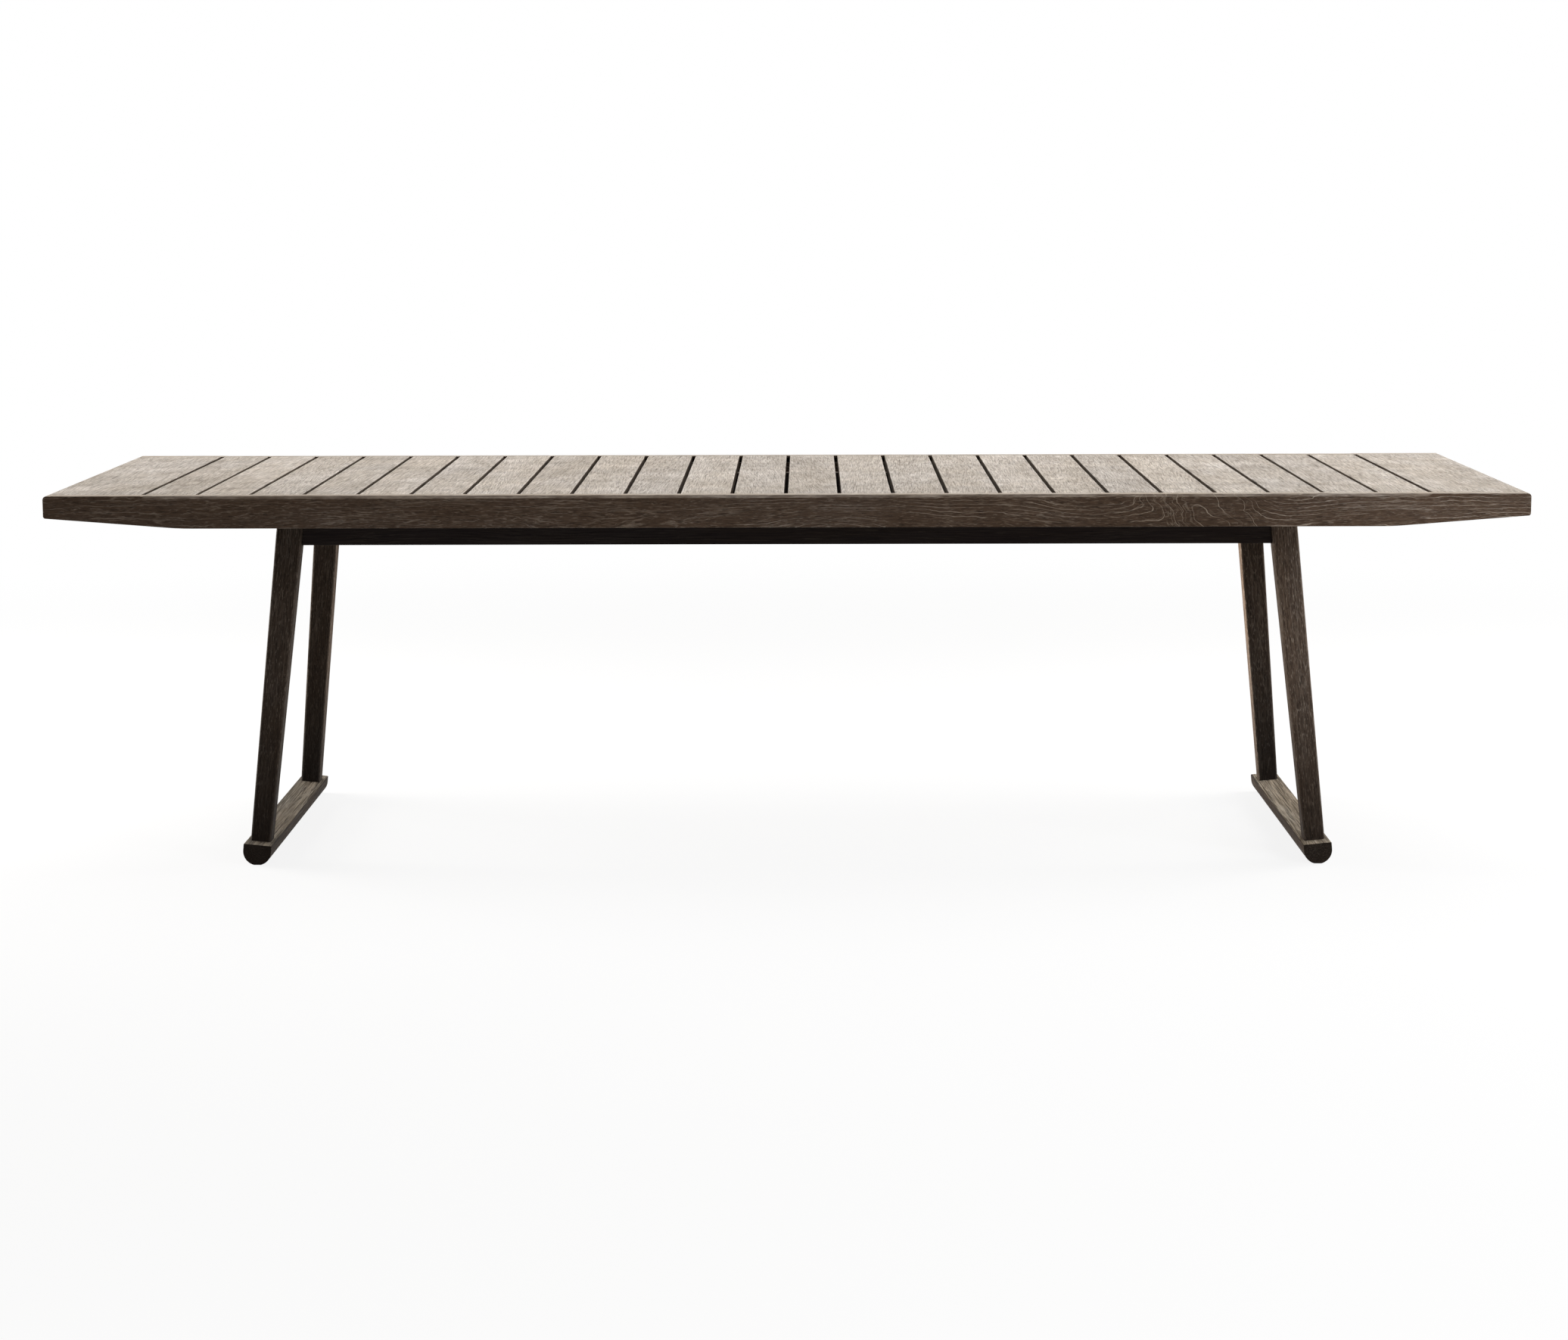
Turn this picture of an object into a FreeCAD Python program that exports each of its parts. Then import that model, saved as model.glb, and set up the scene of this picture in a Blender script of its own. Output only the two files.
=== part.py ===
# Refectory table: a slatted teak top on two leaning leg frames that stand on half-round runners.
# +X runs along the table, +Y to the back, +Z up; the origin is on the floor under the middle.
# Lengths are millimetres, angles degrees.
import FreeCAD, Part
import os
import Sketcher
from FreeCAD import Placement, Rotation, Vector

doc = FreeCAD.newDocument("RefectoryTable")

DRIVING_SIZES = {
    # deck
    "slat_count": 24,
    "slat_width": 100,
    "slat_gap": 8,
    "slat_thickness": 22,
    "end_board_width": 192,
    "top_width": 1000,
    "top_height": 772,
    "arris_round": 1.5,
    # edge rails
    "rail_thickness": 30,
    "rail_height": 66,
    "rail_taper_rise": 21,
    "rail_taper_length": 274,
    "rail_knee_radius": 600,
    "end_round_top": 8,
    "end_round_bottom": 5,
    "chamfer_size": 6.5,
    "chamfer_runout": 11,
    # tongue of the deck boards in the groove of the rails
    "tongue_length": 12,
    "tongue_thickness": 10,
    "groove_stop": 40,
    # leg frames
    "foot_inset": 399,
    "leg_lean": 5.7,
    "leg_splay": 6.2,
    "leg_foot_width": 42,
    "leg_top_width": 55,
    "leg_depth": 50,
    "leg_edge_round": 6,
    "leg_end_inset": 39,
    "leg_tenon_width": 22,
    "leg_tenon_depth": 30,
    "leg_tenon_length": 28,
    # runners
    "runner_inset": 85,
    "runner_width": 58,
    "runner_straight": 14,
    "runner_arris_round": 2,
    "floor_flat_depth": 0.9,
    # beams between the leg frames
    "beam_height": 100,
    "beam_thickness": 30,
    "beam_setback": 5,
    "beam_tenon_height": 70,
    "beam_tenon_thickness": 16,
    "beam_tenon_length": 22,
    # end bearers under the overhang
    "bearer_height": 40,
    "bearer_end_inset": 60,
    "bearer_tenon_height": 26,
    "bearer_tenon_thickness": 12,
    "bearer_tenon_length": 16,
    # cross rails between the leg tops
    "cross_rail_height": 60,
    "cross_rail_thickness": 30,
    "cross_tenon_height": 36,
    "cross_tenon_thickness": 12,
    "cross_tenon_length": 16,
    # room in the joints
    "joint_clearance": 0.2,
    "tenon_end_gap": 1,
    "hole_clearance": 0.2,
    # slat screws
    "screw_diameter": 5,
    "screw_head_diameter": 10,
    "screw_crown_diameter": 7,
    "screw_head_height": 3.5,
    "screw_point_length": 5,
    "screw_cover": 6,
    "screw_counterbore_diameter": 12,
    "screw_edge_distance": 20,
    "beam_screw_grip": 34,
    "bearer_screw_grip": 24,
    # bolts, washers and barrel nuts of the beam joints
    "bolt_diameter": 8,
    "bolt_length": 90,
    "bolt_head_diameter": 13,
    "bolt_head_height": 8,
    "bolt_socket_width": 6,
    "bolt_socket_depth": 4,
    "bolt_counterbore_diameter": 18,
    "bolt_counterbore_depth": 11,
    "bolt_rise": 30,
    "washer_diameter": 16,
    "washer_thickness": 1.6,
    "barrel_nut_diameter": 14,
    "barrel_nut_length": 22,
    "barrel_nut_from_tip": 9,
}

# Places and sizes that follow from the driving ones. The leg frames have a frame of their own: its
# origin is the centre of the runner's round underside and its third axis leans with the legs.
DERIVED_SIZES = {
    "slat_pitch": "Sizes.slat_width + Sizes.slat_gap",
    "top_length": "2 * Sizes.end_board_width + Sizes.slat_count * Sizes.slat_width"
                  " + (Sizes.slat_count + 1) * Sizes.slat_gap",
    "deck_depth": "Sizes.top_width - 2 * Sizes.rail_thickness",
    "deck_underside": "Sizes.top_height - Sizes.slat_thickness",
    "tongue_drop": "(Sizes.slat_thickness - Sizes.tongue_thickness) / 2",
    "rail_y": "(Sizes.top_width - Sizes.rail_thickness) / 2",
    "rail_end_height": "Sizes.rail_height - Sizes.rail_taper_rise",
    "rail_taper_angle": "atan(Sizes.rail_taper_rise / Sizes.rail_taper_length)",
    "rail_knee_reach": "Sizes.rail_knee_radius * tan(rail_taper_angle / 2)",
    "end_board_x": "top_length / 2 - Sizes.end_board_width / 2",
    "runner_length": "Sizes.top_width - 2 * Sizes.runner_inset",
    "runner_radius": "Sizes.runner_width / 2",
    "frame_x": "top_length / 2 - Sizes.foot_inset",
    "frame_z": "runner_radius - Sizes.floor_flat_depth",
    "leg_cut": "(deck_underside - frame_z) / cos(Sizes.leg_lean)",
    "leg_rise": "leg_cut - Sizes.runner_straight",
    "leg_spare": "Sizes.leg_top_width * tan(Sizes.leg_lean)",
    "leg_head": "leg_cut + leg_spare",
    "leg_head_width": "Sizes.leg_top_width"
                      " + (Sizes.leg_top_width - Sizes.leg_foot_width) * leg_spare / leg_rise",
    "leg_foot_y": "runner_length / 2 - Sizes.leg_end_inset - Sizes.leg_depth / 2",
    "leg_top_y": "leg_foot_y - leg_rise * tan(Sizes.leg_splay)",
    "leg_head_y": "leg_top_y - leg_spare * tan(Sizes.leg_splay)",
    "beam_y": "leg_top_y + Sizes.leg_depth / 2 - Sizes.beam_setback - Sizes.beam_thickness / 2",
    "beam_bottom": "deck_underside - Sizes.beam_height",
    "beam_middle": "deck_underside - Sizes.beam_height / 2",
    "bearer_bottom": "deck_underside - Sizes.bearer_height",
    "bearer_middle": "deck_underside - Sizes.bearer_height / 2",
    "bearer_end_x": "top_length / 2 - Sizes.bearer_end_inset",
    "cross_bottom": "leg_cut - Sizes.cross_rail_height",
    "cross_middle": "leg_cut - Sizes.cross_rail_height / 2",
    # the inner and outer faces of a right leg, as lines in the XZ plane
    "inner_foot_x": "frame_x - Sizes.leg_foot_width / 2 * cos(Sizes.leg_lean)"
                    " - Sizes.runner_straight * sin(Sizes.leg_lean)",
    "inner_foot_z": "frame_z - Sizes.leg_foot_width / 2 * sin(Sizes.leg_lean)"
                    " + Sizes.runner_straight * cos(Sizes.leg_lean)",
    "inner_top_x": "frame_x - Sizes.leg_top_width / 2 * cos(Sizes.leg_lean)"
                   " - leg_cut * sin(Sizes.leg_lean)",
    "inner_top_z": "frame_z - Sizes.leg_top_width / 2 * sin(Sizes.leg_lean)"
                   " + leg_cut * cos(Sizes.leg_lean)",
    "inner_slope": "(inner_top_x - inner_foot_x) / (inner_top_z - inner_foot_z)",
    "outer_foot_x": "frame_x + Sizes.leg_foot_width / 2 * cos(Sizes.leg_lean)"
                    " - Sizes.runner_straight * sin(Sizes.leg_lean)",
    "outer_foot_z": "frame_z + Sizes.leg_foot_width / 2 * sin(Sizes.leg_lean)"
                    " + Sizes.runner_straight * cos(Sizes.leg_lean)",
    "outer_top_x": "frame_x + Sizes.leg_top_width / 2 * cos(Sizes.leg_lean)"
                   " - leg_cut * sin(Sizes.leg_lean)",
    "outer_top_z": "frame_z + Sizes.leg_top_width / 2 * sin(Sizes.leg_lean)"
                   " + leg_cut * cos(Sizes.leg_lean)",
    "outer_slope": "(outer_top_x - outer_foot_x) / (outer_top_z - outer_foot_z)",
    # fasteners
    "screw_bite": "Sizes.slat_thickness - Sizes.screw_cover",
    "screw_hole": "Sizes.screw_diameter + Sizes.hole_clearance",
    "bolt_hole": "Sizes.bolt_diameter + Sizes.hole_clearance",
    "bolt_z": "beam_bottom + Sizes.bolt_rise",
    "bolt_seat_x": "outer_foot_x + (bolt_z - outer_foot_z) * outer_slope - Sizes.bolt_counterbore_depth",
    "bolt_tip_x": "bolt_seat_x + Sizes.washer_thickness - Sizes.bolt_length",
    "barrel_nut_x": "bolt_tip_x + Sizes.barrel_nut_from_tip",
}


def make_sheet(name, cells):
    sheet = doc.addObject("Spreadsheet::Sheet", name)
    for row, (alias, content) in enumerate(cells.items(), start=1):
        sheet.set(f"A{row}", alias)
        sheet.set(f"B{row}", content)
        sheet.setAlias(f"B{row}", alias)
    doc.recompute()
    return sheet


sizes = make_sheet("Sizes", {alias: str(value) for alias, value in DRIVING_SIZES.items()})
places = make_sheet("Places", {alias: f"={formula}" for alias, formula in DERIVED_SIZES.items()})

LEFT, RIGHT = -1, 1
FRONT, BACK = -1, 1
SIDE_NAMES = {LEFT: "left", RIGHT: "right"}
FACE_NAMES = {FRONT: "front", BACK: "back"}
CORNERS = [(side, face) for side in (LEFT, RIGHT) for face in (FRONT, BACK)]


def value(expression):
    return float(sizes.evalExpression(expression))


def leg_face_x(face, height):
    return f"(Places.{face}_foot_x + ({height} - Places.{face}_foot_z) * Places.{face}_slope)"


def leg_inner_y(height):
    return (f"(Places.leg_foot_y - Sizes.leg_depth / 2"
            f" - ({height} - Sizes.runner_straight) * tan(Sizes.leg_splay))")


def place(obj, x="0", y="0", z="0", lean=None):
    if lean is not None:
        obj.Placement = Placement(Vector(), Rotation(Vector(0, 1, 0), value(lean)))
        obj.setExpression("Placement.Rotation.Angle", lean)
    for axis, expression in zip("xyz", (x, y, z)):
        obj.setExpression(f"Placement.Base.{axis}", expression)


def place_in_leg_frame(obj, side):
    place(obj, f"{side} * Places.frame_x", "0", "Places.frame_z", lean=f"{-side} * Sizes.leg_lean")


def new_body(name):
    body = doc.addObject("PartDesign::Body", name)
    body.Label = name
    return body


def new_sketch(body, name, plane, offset="0"):
    sketch = body.newObject("Sketcher::SketchObject", name)
    support = next(f for f in body.Origin.OriginFeatures if f.Role == plane)
    sketch.AttachmentSupport = [(support, "")]
    sketch.MapMode = "FlatFace"
    sketch.setExpression("AttachmentOffset.Base.z", offset)
    return sketch


def fix_point(sketch, geometry, point, x, y):
    for kind, expression in (("DistanceX", x), ("DistanceY", y)):
        constraint = Sketcher.Constraint(kind, -1, 1, geometry, point, value(expression))
        index = sketch.addConstraint(constraint)
        sketch.setExpression(f"Constraints[{index}]", expression)


# An arc that bulges to the right of the way from start to end.
def bulging_arc(start, end, radius):
    chord = end - start
    rise = radius - (radius ** 2 - chord.Length ** 2 / 4) ** 0.5
    outward = Vector(chord.y, -chord.x, 0).normalize()
    return Part.Arc(start, (start + end) / 2 + outward * rise, end)


# A closed outline, its corners given anticlockwise. The side that starts at a corner listed in
# arc_radii is an arc of that radius.
def add_polygon(sketch, corners, arc_radii=None):
    arc_radii = arc_radii or {}
    points = [Vector(value(x), value(y), 0) for x, y in corners]
    first = sketch.GeometryCount
    count = len(points)
    for i, start in enumerate(points):
        end = points[(i + 1) % count]
        if i in arc_radii:
            side = bulging_arc(start, end, value(arc_radii[i]))
        else:
            side = Part.LineSegment(start, end)
        sketch.addGeometry(side, False)
    for i, (x, y) in enumerate(corners):
        sketch.addConstraint(Sketcher.Constraint("Coincident", first + i, 2, first + (i + 1) % count, 1))
        fix_point(sketch, first + i, 1, x, y)
    for i, radius in arc_radii.items():
        size = sketch.addConstraint(Sketcher.Constraint("Radius", first + i, value(radius)))
        sketch.setExpression(f"Constraints[{size}]", radius)


def add_rectangle(sketch, low_x, low_y, high_x, high_y):
    add_polygon(sketch, [(low_x, low_y), (high_x, low_y), (high_x, high_y), (low_x, high_y)])


def add_rounded_rectangle(sketch, low_x, low_y, high_x, high_y, radius):
    corners = [
        (f"{low_x} + {radius}", low_y), (f"{high_x} - {radius}", low_y),
        (high_x, f"{low_y} + {radius}"), (high_x, f"{high_y} - {radius}"),
        (f"{high_x} - {radius}", high_y), (f"{low_x} + {radius}", high_y),
        (low_x, f"{high_y} - {radius}"), (low_x, f"{low_y} + {radius}"),
    ]
    add_polygon(sketch, corners, {corner: radius for corner in (1, 3, 5, 7)})


def add_circle(sketch, x, y, diameter):
    center = Vector(value(x), value(y), 0)
    index = sketch.addGeometry(Part.Circle(center, Vector(0, 0, 1), value(diameter) / 2), False)
    fix_point(sketch, index, 3, x, y)
    size = sketch.addConstraint(Sketcher.Constraint("Diameter", index, value(diameter)))
    sketch.setExpression(f"Constraints[{size}]", diameter)


def pad(body, name, sketch, length):
    feature = body.newObject("PartDesign::Pad", name)
    feature.Profile = sketch
    feature.SideType = "Symmetric"
    feature.setExpression("Length", length)
    return feature


# A cut reaches as far to either side of its sketch as it is deep.
def pocket(body, name, sketch, depth):
    feature = body.newObject("PartDesign::Pocket", name)
    feature.Profile = sketch
    feature.SideType = "Symmetric"
    feature.setExpression("Length", f"2 * ({depth})")
    return feature


def revolution(body, name, sketch):
    feature = body.newObject("PartDesign::Revolution", name)
    feature.Profile = sketch
    feature.ReferenceAxis = (sketch, ["V_Axis"])
    feature.Angle = 360
    return feature


def round_edges(body, name, radius, chosen):
    doc.recompute()
    base = body.Tip
    edges = [f"Edge{i}" for i, edge in enumerate(base.Shape.Edges, start=1) if chosen(edge)]
    feature = body.newObject("PartDesign::Fillet", name)
    feature.Base = (base, edges)
    feature.setExpression("Radius", radius)


# True for an edge parallel to Y that passes through (x, z) in the body's own frame.
def lies_along_y(edge, x, z):
    near = 1e-4
    ends = [vertex.Point for vertex in edge.Vertexes]
    return len(ends) == 2 and all(abs(p.x - x) < near and abs(p.z - z) < near for p in ends)


def new_box(name, low, size):
    box = doc.addObject("Part::Box", name)
    for prop, expression in zip(("Length", "Width", "Height"), size):
        box.setExpression(prop, expression)
    place(box, *low)
    return box


# A bar of round section along X, its middle at (x, y, z).
def new_rod(name, x, y, z, diameter, length):
    rod = doc.addObject("Part::Cylinder", name)
    rod.setExpression("Radius", f"{diameter} / 2")
    rod.setExpression("Height", length)
    rod.Placement = Placement(Vector(), Rotation(Vector(0, 1, 0), 90))
    place(rod, f"{x} - {length} / 2", y, z)
    return rod


def cut_away(name, base, tools):
    cutter = tools[0]
    if len(tools) > 1:
        cutter = doc.addObject("Part::MultiFuse", f"{name}_cuts")
        cutter.Shapes = tools
    result = doc.addObject("Part::Cut", name)
    result.Label = name
    result.Base = base
    result.Tool = cutter
    return result


def slat_x(number):
    return f"({number} - (Sizes.slat_count + 1) / 2) * Places.slat_pitch"


def lies_over_beam(number):
    reach = value(leg_face_x("inner", "Places.deck_underside")) - value("Sizes.screw_edge_distance")
    return abs(value(slat_x(number))) < reach


def lies_over_bearer(number):
    reach = value(leg_face_x("outer", "Places.deck_underside")) + value("Sizes.screw_edge_distance")
    return abs(value(slat_x(number))) > reach


slat_numbers = range(1, int(value("Sizes.slat_count")) + 1)
beam_screw_xs = [slat_x(n) for n in slat_numbers if lies_over_beam(n)]


def bearer_screw_xs(side):
    over_bearer = [slat_x(n) for n in slat_numbers if lies_over_bearer(n)]
    on_this_side = [x for x in over_bearer if side * value(x) > 0]
    return on_this_side + [f"{side} * Places.end_board_x"]


# Blind holes for the slat screws, in the underside of a deck board above both beams.
def bore_deck_board(body):
    sketch = new_sketch(body, "screw_places", "XY_Plane", "-Sizes.slat_thickness")
    for face in (FRONT, BACK):
        add_circle(sketch, "0", f"{face} * Places.beam_y", "Places.screw_hole")
    pocket(body, "screw_holes", sketch, "Places.screw_bite + Sizes.tenon_end_gap")


# A deck board has its top middle at its origin; its tongues run into the grooves of the rails.
def make_deck_board(name, x, board, tongue):
    body = new_body(name)
    low, high = board
    outline = new_sketch(body, "board_section", "XZ_Plane")
    add_rectangle(outline, low, "-Sizes.slat_thickness", high, "0")
    pad(body, "board", outline, "Places.deck_depth")
    low, high = tongue
    tongue_section = new_sketch(body, "tongue_section", "XZ_Plane")
    add_rectangle(tongue_section, low, "-Places.tongue_drop - Sizes.tongue_thickness",
                  high, "-Places.tongue_drop")
    pad(body, "tongues", tongue_section, "Places.deck_depth + 2 * Sizes.tongue_length")
    place(body, x, "0", "Sizes.top_height")
    return body


def make_slat(number):
    half = "Sizes.slat_width / 2"
    across = (f"-{half}", half)
    body = make_deck_board(f"slat_{number:02d}", slat_x(number), across, across)
    if lies_over_beam(number) or lies_over_bearer(number):
        bore_deck_board(body)
    half_width = value(half)
    round_edges(body, "arrises", "Sizes.arris_round",
                lambda e: lies_along_y(e, half_width, 0) or lies_along_y(e, -half_width, 0))
    return body


def make_end_board(side):
    half = "Sizes.end_board_width / 2"
    inner = f"{-side} * {half}"
    outer = f"{side} * {half}"
    tongue = (inner, f"{side} * ({half} - Sizes.groove_stop)")
    body = make_deck_board(f"end_board_{SIDE_NAMES[side]}", f"{side} * Places.end_board_x",
                           (inner, outer), tongue)
    bore_deck_board(body)
    outer_x, bottom = value(outer), value("-Sizes.slat_thickness")
    round_edges(body, "inner_arris", "Sizes.arris_round", lambda e: lies_along_y(e, -outer_x, 0))
    round_edges(body, "end_top", "Sizes.end_round_top", lambda e: lies_along_y(e, outer_x, 0))
    round_edges(body, "end_bottom", "Sizes.end_round_bottom", lambda e: lies_along_y(e, outer_x, bottom))
    return body


# An edge rail has its origin at its top, in the middle of its length and thickness.
def make_edge_rail(face):
    body = new_body(f"edge_rail_{FACE_NAMES[face]}")
    end = "Places.top_length / 2"
    knee = f"({end} - Sizes.rail_taper_length)"
    level_end = f"({knee} - Places.rail_knee_reach)"
    taper_start = f"({knee} + Places.rail_knee_reach * cos(Places.rail_taper_angle))"
    taper_start_z = "Places.rail_knee_reach * sin(Places.rail_taper_angle) - Sizes.rail_height"
    outline = new_sketch(body, "rail_outline", "XZ_Plane")
    left_knee, right_knee = 2, 4
    add_polygon(outline, [
        (f"-{end}", "0"), (f"-{end}", "-Places.rail_end_height"),
        (f"-{taper_start}", taper_start_z), (f"-{level_end}", "-Sizes.rail_height"),
        (level_end, "-Sizes.rail_height"), (taper_start, taper_start_z),
        (end, "-Places.rail_end_height"), (end, "0"),
    ], {left_knee: "Sizes.rail_knee_radius", right_knee: "Sizes.rail_knee_radius"})
    pad(body, "rail", outline, "Sizes.rail_thickness")

    inner_face = new_sketch(body, "groove_outline", "XZ_Plane", f"{face} * Sizes.rail_thickness / 2")
    groove_end = f"({end} - Sizes.groove_stop + Sizes.joint_clearance)"
    add_rectangle(inner_face, f"-{groove_end}",
                  "-Places.tongue_drop - Sizes.tongue_thickness - Sizes.joint_clearance",
                  groove_end, "-Places.tongue_drop + Sizes.joint_clearance")
    pocket(body, "groove", inner_face, "Sizes.tongue_length + Sizes.tenon_end_gap")

    # the chamfer's sketch lies square to its slope, along the rail's outer arris
    chamfer_plane = new_sketch(body, "chamfer_outline", "XZ_Plane", f"{-face} * Sizes.rail_thickness / 2")
    tilt = Rotation(Vector(1, 0, 0), -face * 45)
    chamfer_plane.AttachmentOffset = Placement(chamfer_plane.AttachmentOffset.Base, tilt)
    slope_depth = "Sizes.chamfer_size / sqrt(2)"
    full = f"({end} - Sizes.end_board_width - Sizes.slat_gap / 2 - Sizes.chamfer_runout)"
    add_polygon(chamfer_plane, [
        (f"-{full}", f"-{slope_depth}"), (full, f"-{slope_depth}"),
        (f"{full} + 2 * Sizes.chamfer_runout", slope_depth),
        (f"-({full} + 2 * Sizes.chamfer_runout)", slope_depth),
    ])
    pocket(body, "stopped_chamfer", chamfer_plane, "2 * Sizes.chamfer_size")

    end_x = value(end)
    for name, radius, z in (("end_tops", "Sizes.end_round_top", 0),
                            ("end_bottoms", "Sizes.end_round_bottom", value("-Places.rail_end_height"))):
        round_edges(body, name, radius, lambda e: lies_along_y(e, end_x, z) or lies_along_y(e, -end_x, z))
    place(body, "0", f"{face} * Places.rail_y", "Sizes.top_height")
    return body


# Screw holes down through a beam or bearer, and wider ones for the heads from below.
def bore_for_screws(body, xs, bottom, height, grip):
    holes = new_sketch(body, "screw_places", "XY_Plane", "Places.deck_underside")
    heads = new_sketch(body, "head_places", "XY_Plane", bottom)
    for x in xs:
        add_circle(holes, x, "0", "Places.screw_hole")
        add_circle(heads, x, "0", "Sizes.screw_counterbore_diameter")
    pocket(body, "screw_holes", holes, f"{height} / 2 + {grip} / 2")
    pocket(body, "head_holes", heads, f"{height} - {grip}")


# A beam's shoulders follow the lean of the legs' inner faces.
def make_beam(face):
    body = new_body(f"beam_{FACE_NAMES[face]}")
    top_x = leg_face_x("inner", "Places.deck_underside")
    bottom_x = leg_face_x("inner", "Places.beam_bottom")
    outline = new_sketch(body, "beam_outline", "XZ_Plane")
    add_polygon(outline, [
        (f"-{bottom_x}", "Places.beam_bottom"), (bottom_x, "Places.beam_bottom"),
        (top_x, "Places.deck_underside"), (f"-{top_x}", "Places.deck_underside"),
    ])
    pad(body, "beam", outline, "Sizes.beam_thickness")
    tenon_end = f"({leg_face_x('inner', 'Places.beam_middle')} + Sizes.beam_tenon_length)"
    tenon_outline = new_sketch(body, "tenon_outline", "XZ_Plane")
    add_rectangle(tenon_outline, f"-{tenon_end}", "Places.beam_middle - Sizes.beam_tenon_height / 2",
                  tenon_end, "Places.beam_middle + Sizes.beam_tenon_height / 2")
    pad(body, "tenons", tenon_outline, "Sizes.beam_tenon_thickness")
    bore_for_screws(body, beam_screw_xs, "Places.beam_bottom", "Sizes.beam_height", "Sizes.beam_screw_grip")

    hole_start = "(Places.bolt_tip_x - Sizes.tenon_end_gap)"
    hole_end = f"({tenon_end} + Sizes.tenon_end_gap)"
    nut_places = new_sketch(body, "nut_places", "XZ_Plane", f"{face} * Sizes.beam_thickness / 2")
    for side in (LEFT, RIGHT):
        bolt_place = new_sketch(body, f"bolt_place_{SIDE_NAMES[side]}", "YZ_Plane",
                                f"{side} * ({hole_start} + {hole_end}) / 2")
        add_circle(bolt_place, "0", "Places.bolt_z", "Places.bolt_hole")
        pocket(body, f"bolt_hole_{SIDE_NAMES[side]}", bolt_place, f"({hole_end} - {hole_start}) / 2")
        add_circle(nut_places, f"{side} * Places.barrel_nut_x", "Places.bolt_z",
                   "Sizes.barrel_nut_diameter + Sizes.hole_clearance")
    pocket(body, "nut_holes", nut_places,
           "(Sizes.beam_thickness + Sizes.barrel_nut_length) / 2 + Sizes.hole_clearance")
    place(body, "0", f"{face} * Places.beam_y", "0")
    return body


# An end bearer carries the deck past the leg, with its tenon in the leg's outer face.
def make_end_bearer(side, face):
    body = new_body(f"end_bearer_{FACE_NAMES[face]}_{SIDE_NAMES[side]}")
    end = f"{side} * Places.bearer_end_x"
    outline = new_sketch(body, "bearer_outline", "XZ_Plane")
    add_polygon(outline, [
        (f"{side} * {leg_face_x('outer', 'Places.bearer_bottom')}", "Places.bearer_bottom"),
        (end, "Places.bearer_bottom"), (end, "Places.deck_underside"),
        (f"{side} * {leg_face_x('outer', 'Places.deck_underside')}", "Places.deck_underside"),
    ])
    pad(body, "bearer", outline, "Sizes.beam_thickness")
    shoulder = leg_face_x("outer", "Places.bearer_middle")
    tenon_outline = new_sketch(body, "tenon_outline", "XZ_Plane")
    add_rectangle(tenon_outline, f"{side} * ({shoulder} - Sizes.bearer_tenon_length)",
                  "Places.bearer_middle - Sizes.bearer_tenon_height / 2",
                  f"{side} * ({shoulder} + Sizes.bearer_tenon_length)",
                  "Places.bearer_middle + Sizes.bearer_tenon_height / 2")
    pad(body, "tenon", tenon_outline, "Sizes.bearer_tenon_thickness")
    bore_for_screws(body, bearer_screw_xs(side), "Places.bearer_bottom", "Sizes.bearer_height",
                    "Sizes.bearer_screw_grip")
    place(body, "0", f"{face} * Places.beam_y", "0")
    return body


# Space above the underside of the slats and space below the floor, which trim the leg frames.
deck_space = new_box("deck_space",
                     ("-Places.top_length / 2", "-Sizes.top_width / 2", "Places.deck_underside"),
                     ("Places.top_length", "Sizes.top_width", "Sizes.leg_top_width"))
floor_space = new_box("floor_space",
                      ("-Places.top_length / 2", "-Sizes.top_width / 2", "-Sizes.runner_width"),
                      ("Places.top_length", "Sizes.top_width", "Sizes.runner_width"))


# A box mortise in a leg for a tenon that comes in along X, as deep outside the leg's face as inside.
def leg_mortise(name, side, face, leg_face, middle, tenon):
    depth = f"(Sizes.{tenon}_tenon_length + Sizes.tenon_end_gap)"
    thickness = f"(Sizes.{tenon}_tenon_thickness + 2 * Sizes.joint_clearance)"
    height = f"(Sizes.{tenon}_tenon_height + 2 * Sizes.joint_clearance)"
    low = (f"{side} * {leg_face_x(leg_face, middle)} - {depth}",
           f"{face} * Places.beam_y - {thickness} / 2", f"{middle} - {height} / 2")
    return new_box(f"{name}_{tenon}_mortise", low, (f"2 * {depth}", thickness, height))


def add_leg_tenon(sketch, face, clearance):
    middle = f"{face} * Places.leg_foot_y"
    half_width = f"(Sizes.leg_tenon_width / 2 + {clearance})"
    half_depth = f"(Sizes.leg_tenon_depth / 2 + {clearance})"
    add_rectangle(sketch, f"-{half_width}", f"{middle} - {half_depth}",
                  half_width, f"{middle} + {half_depth}")


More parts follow.
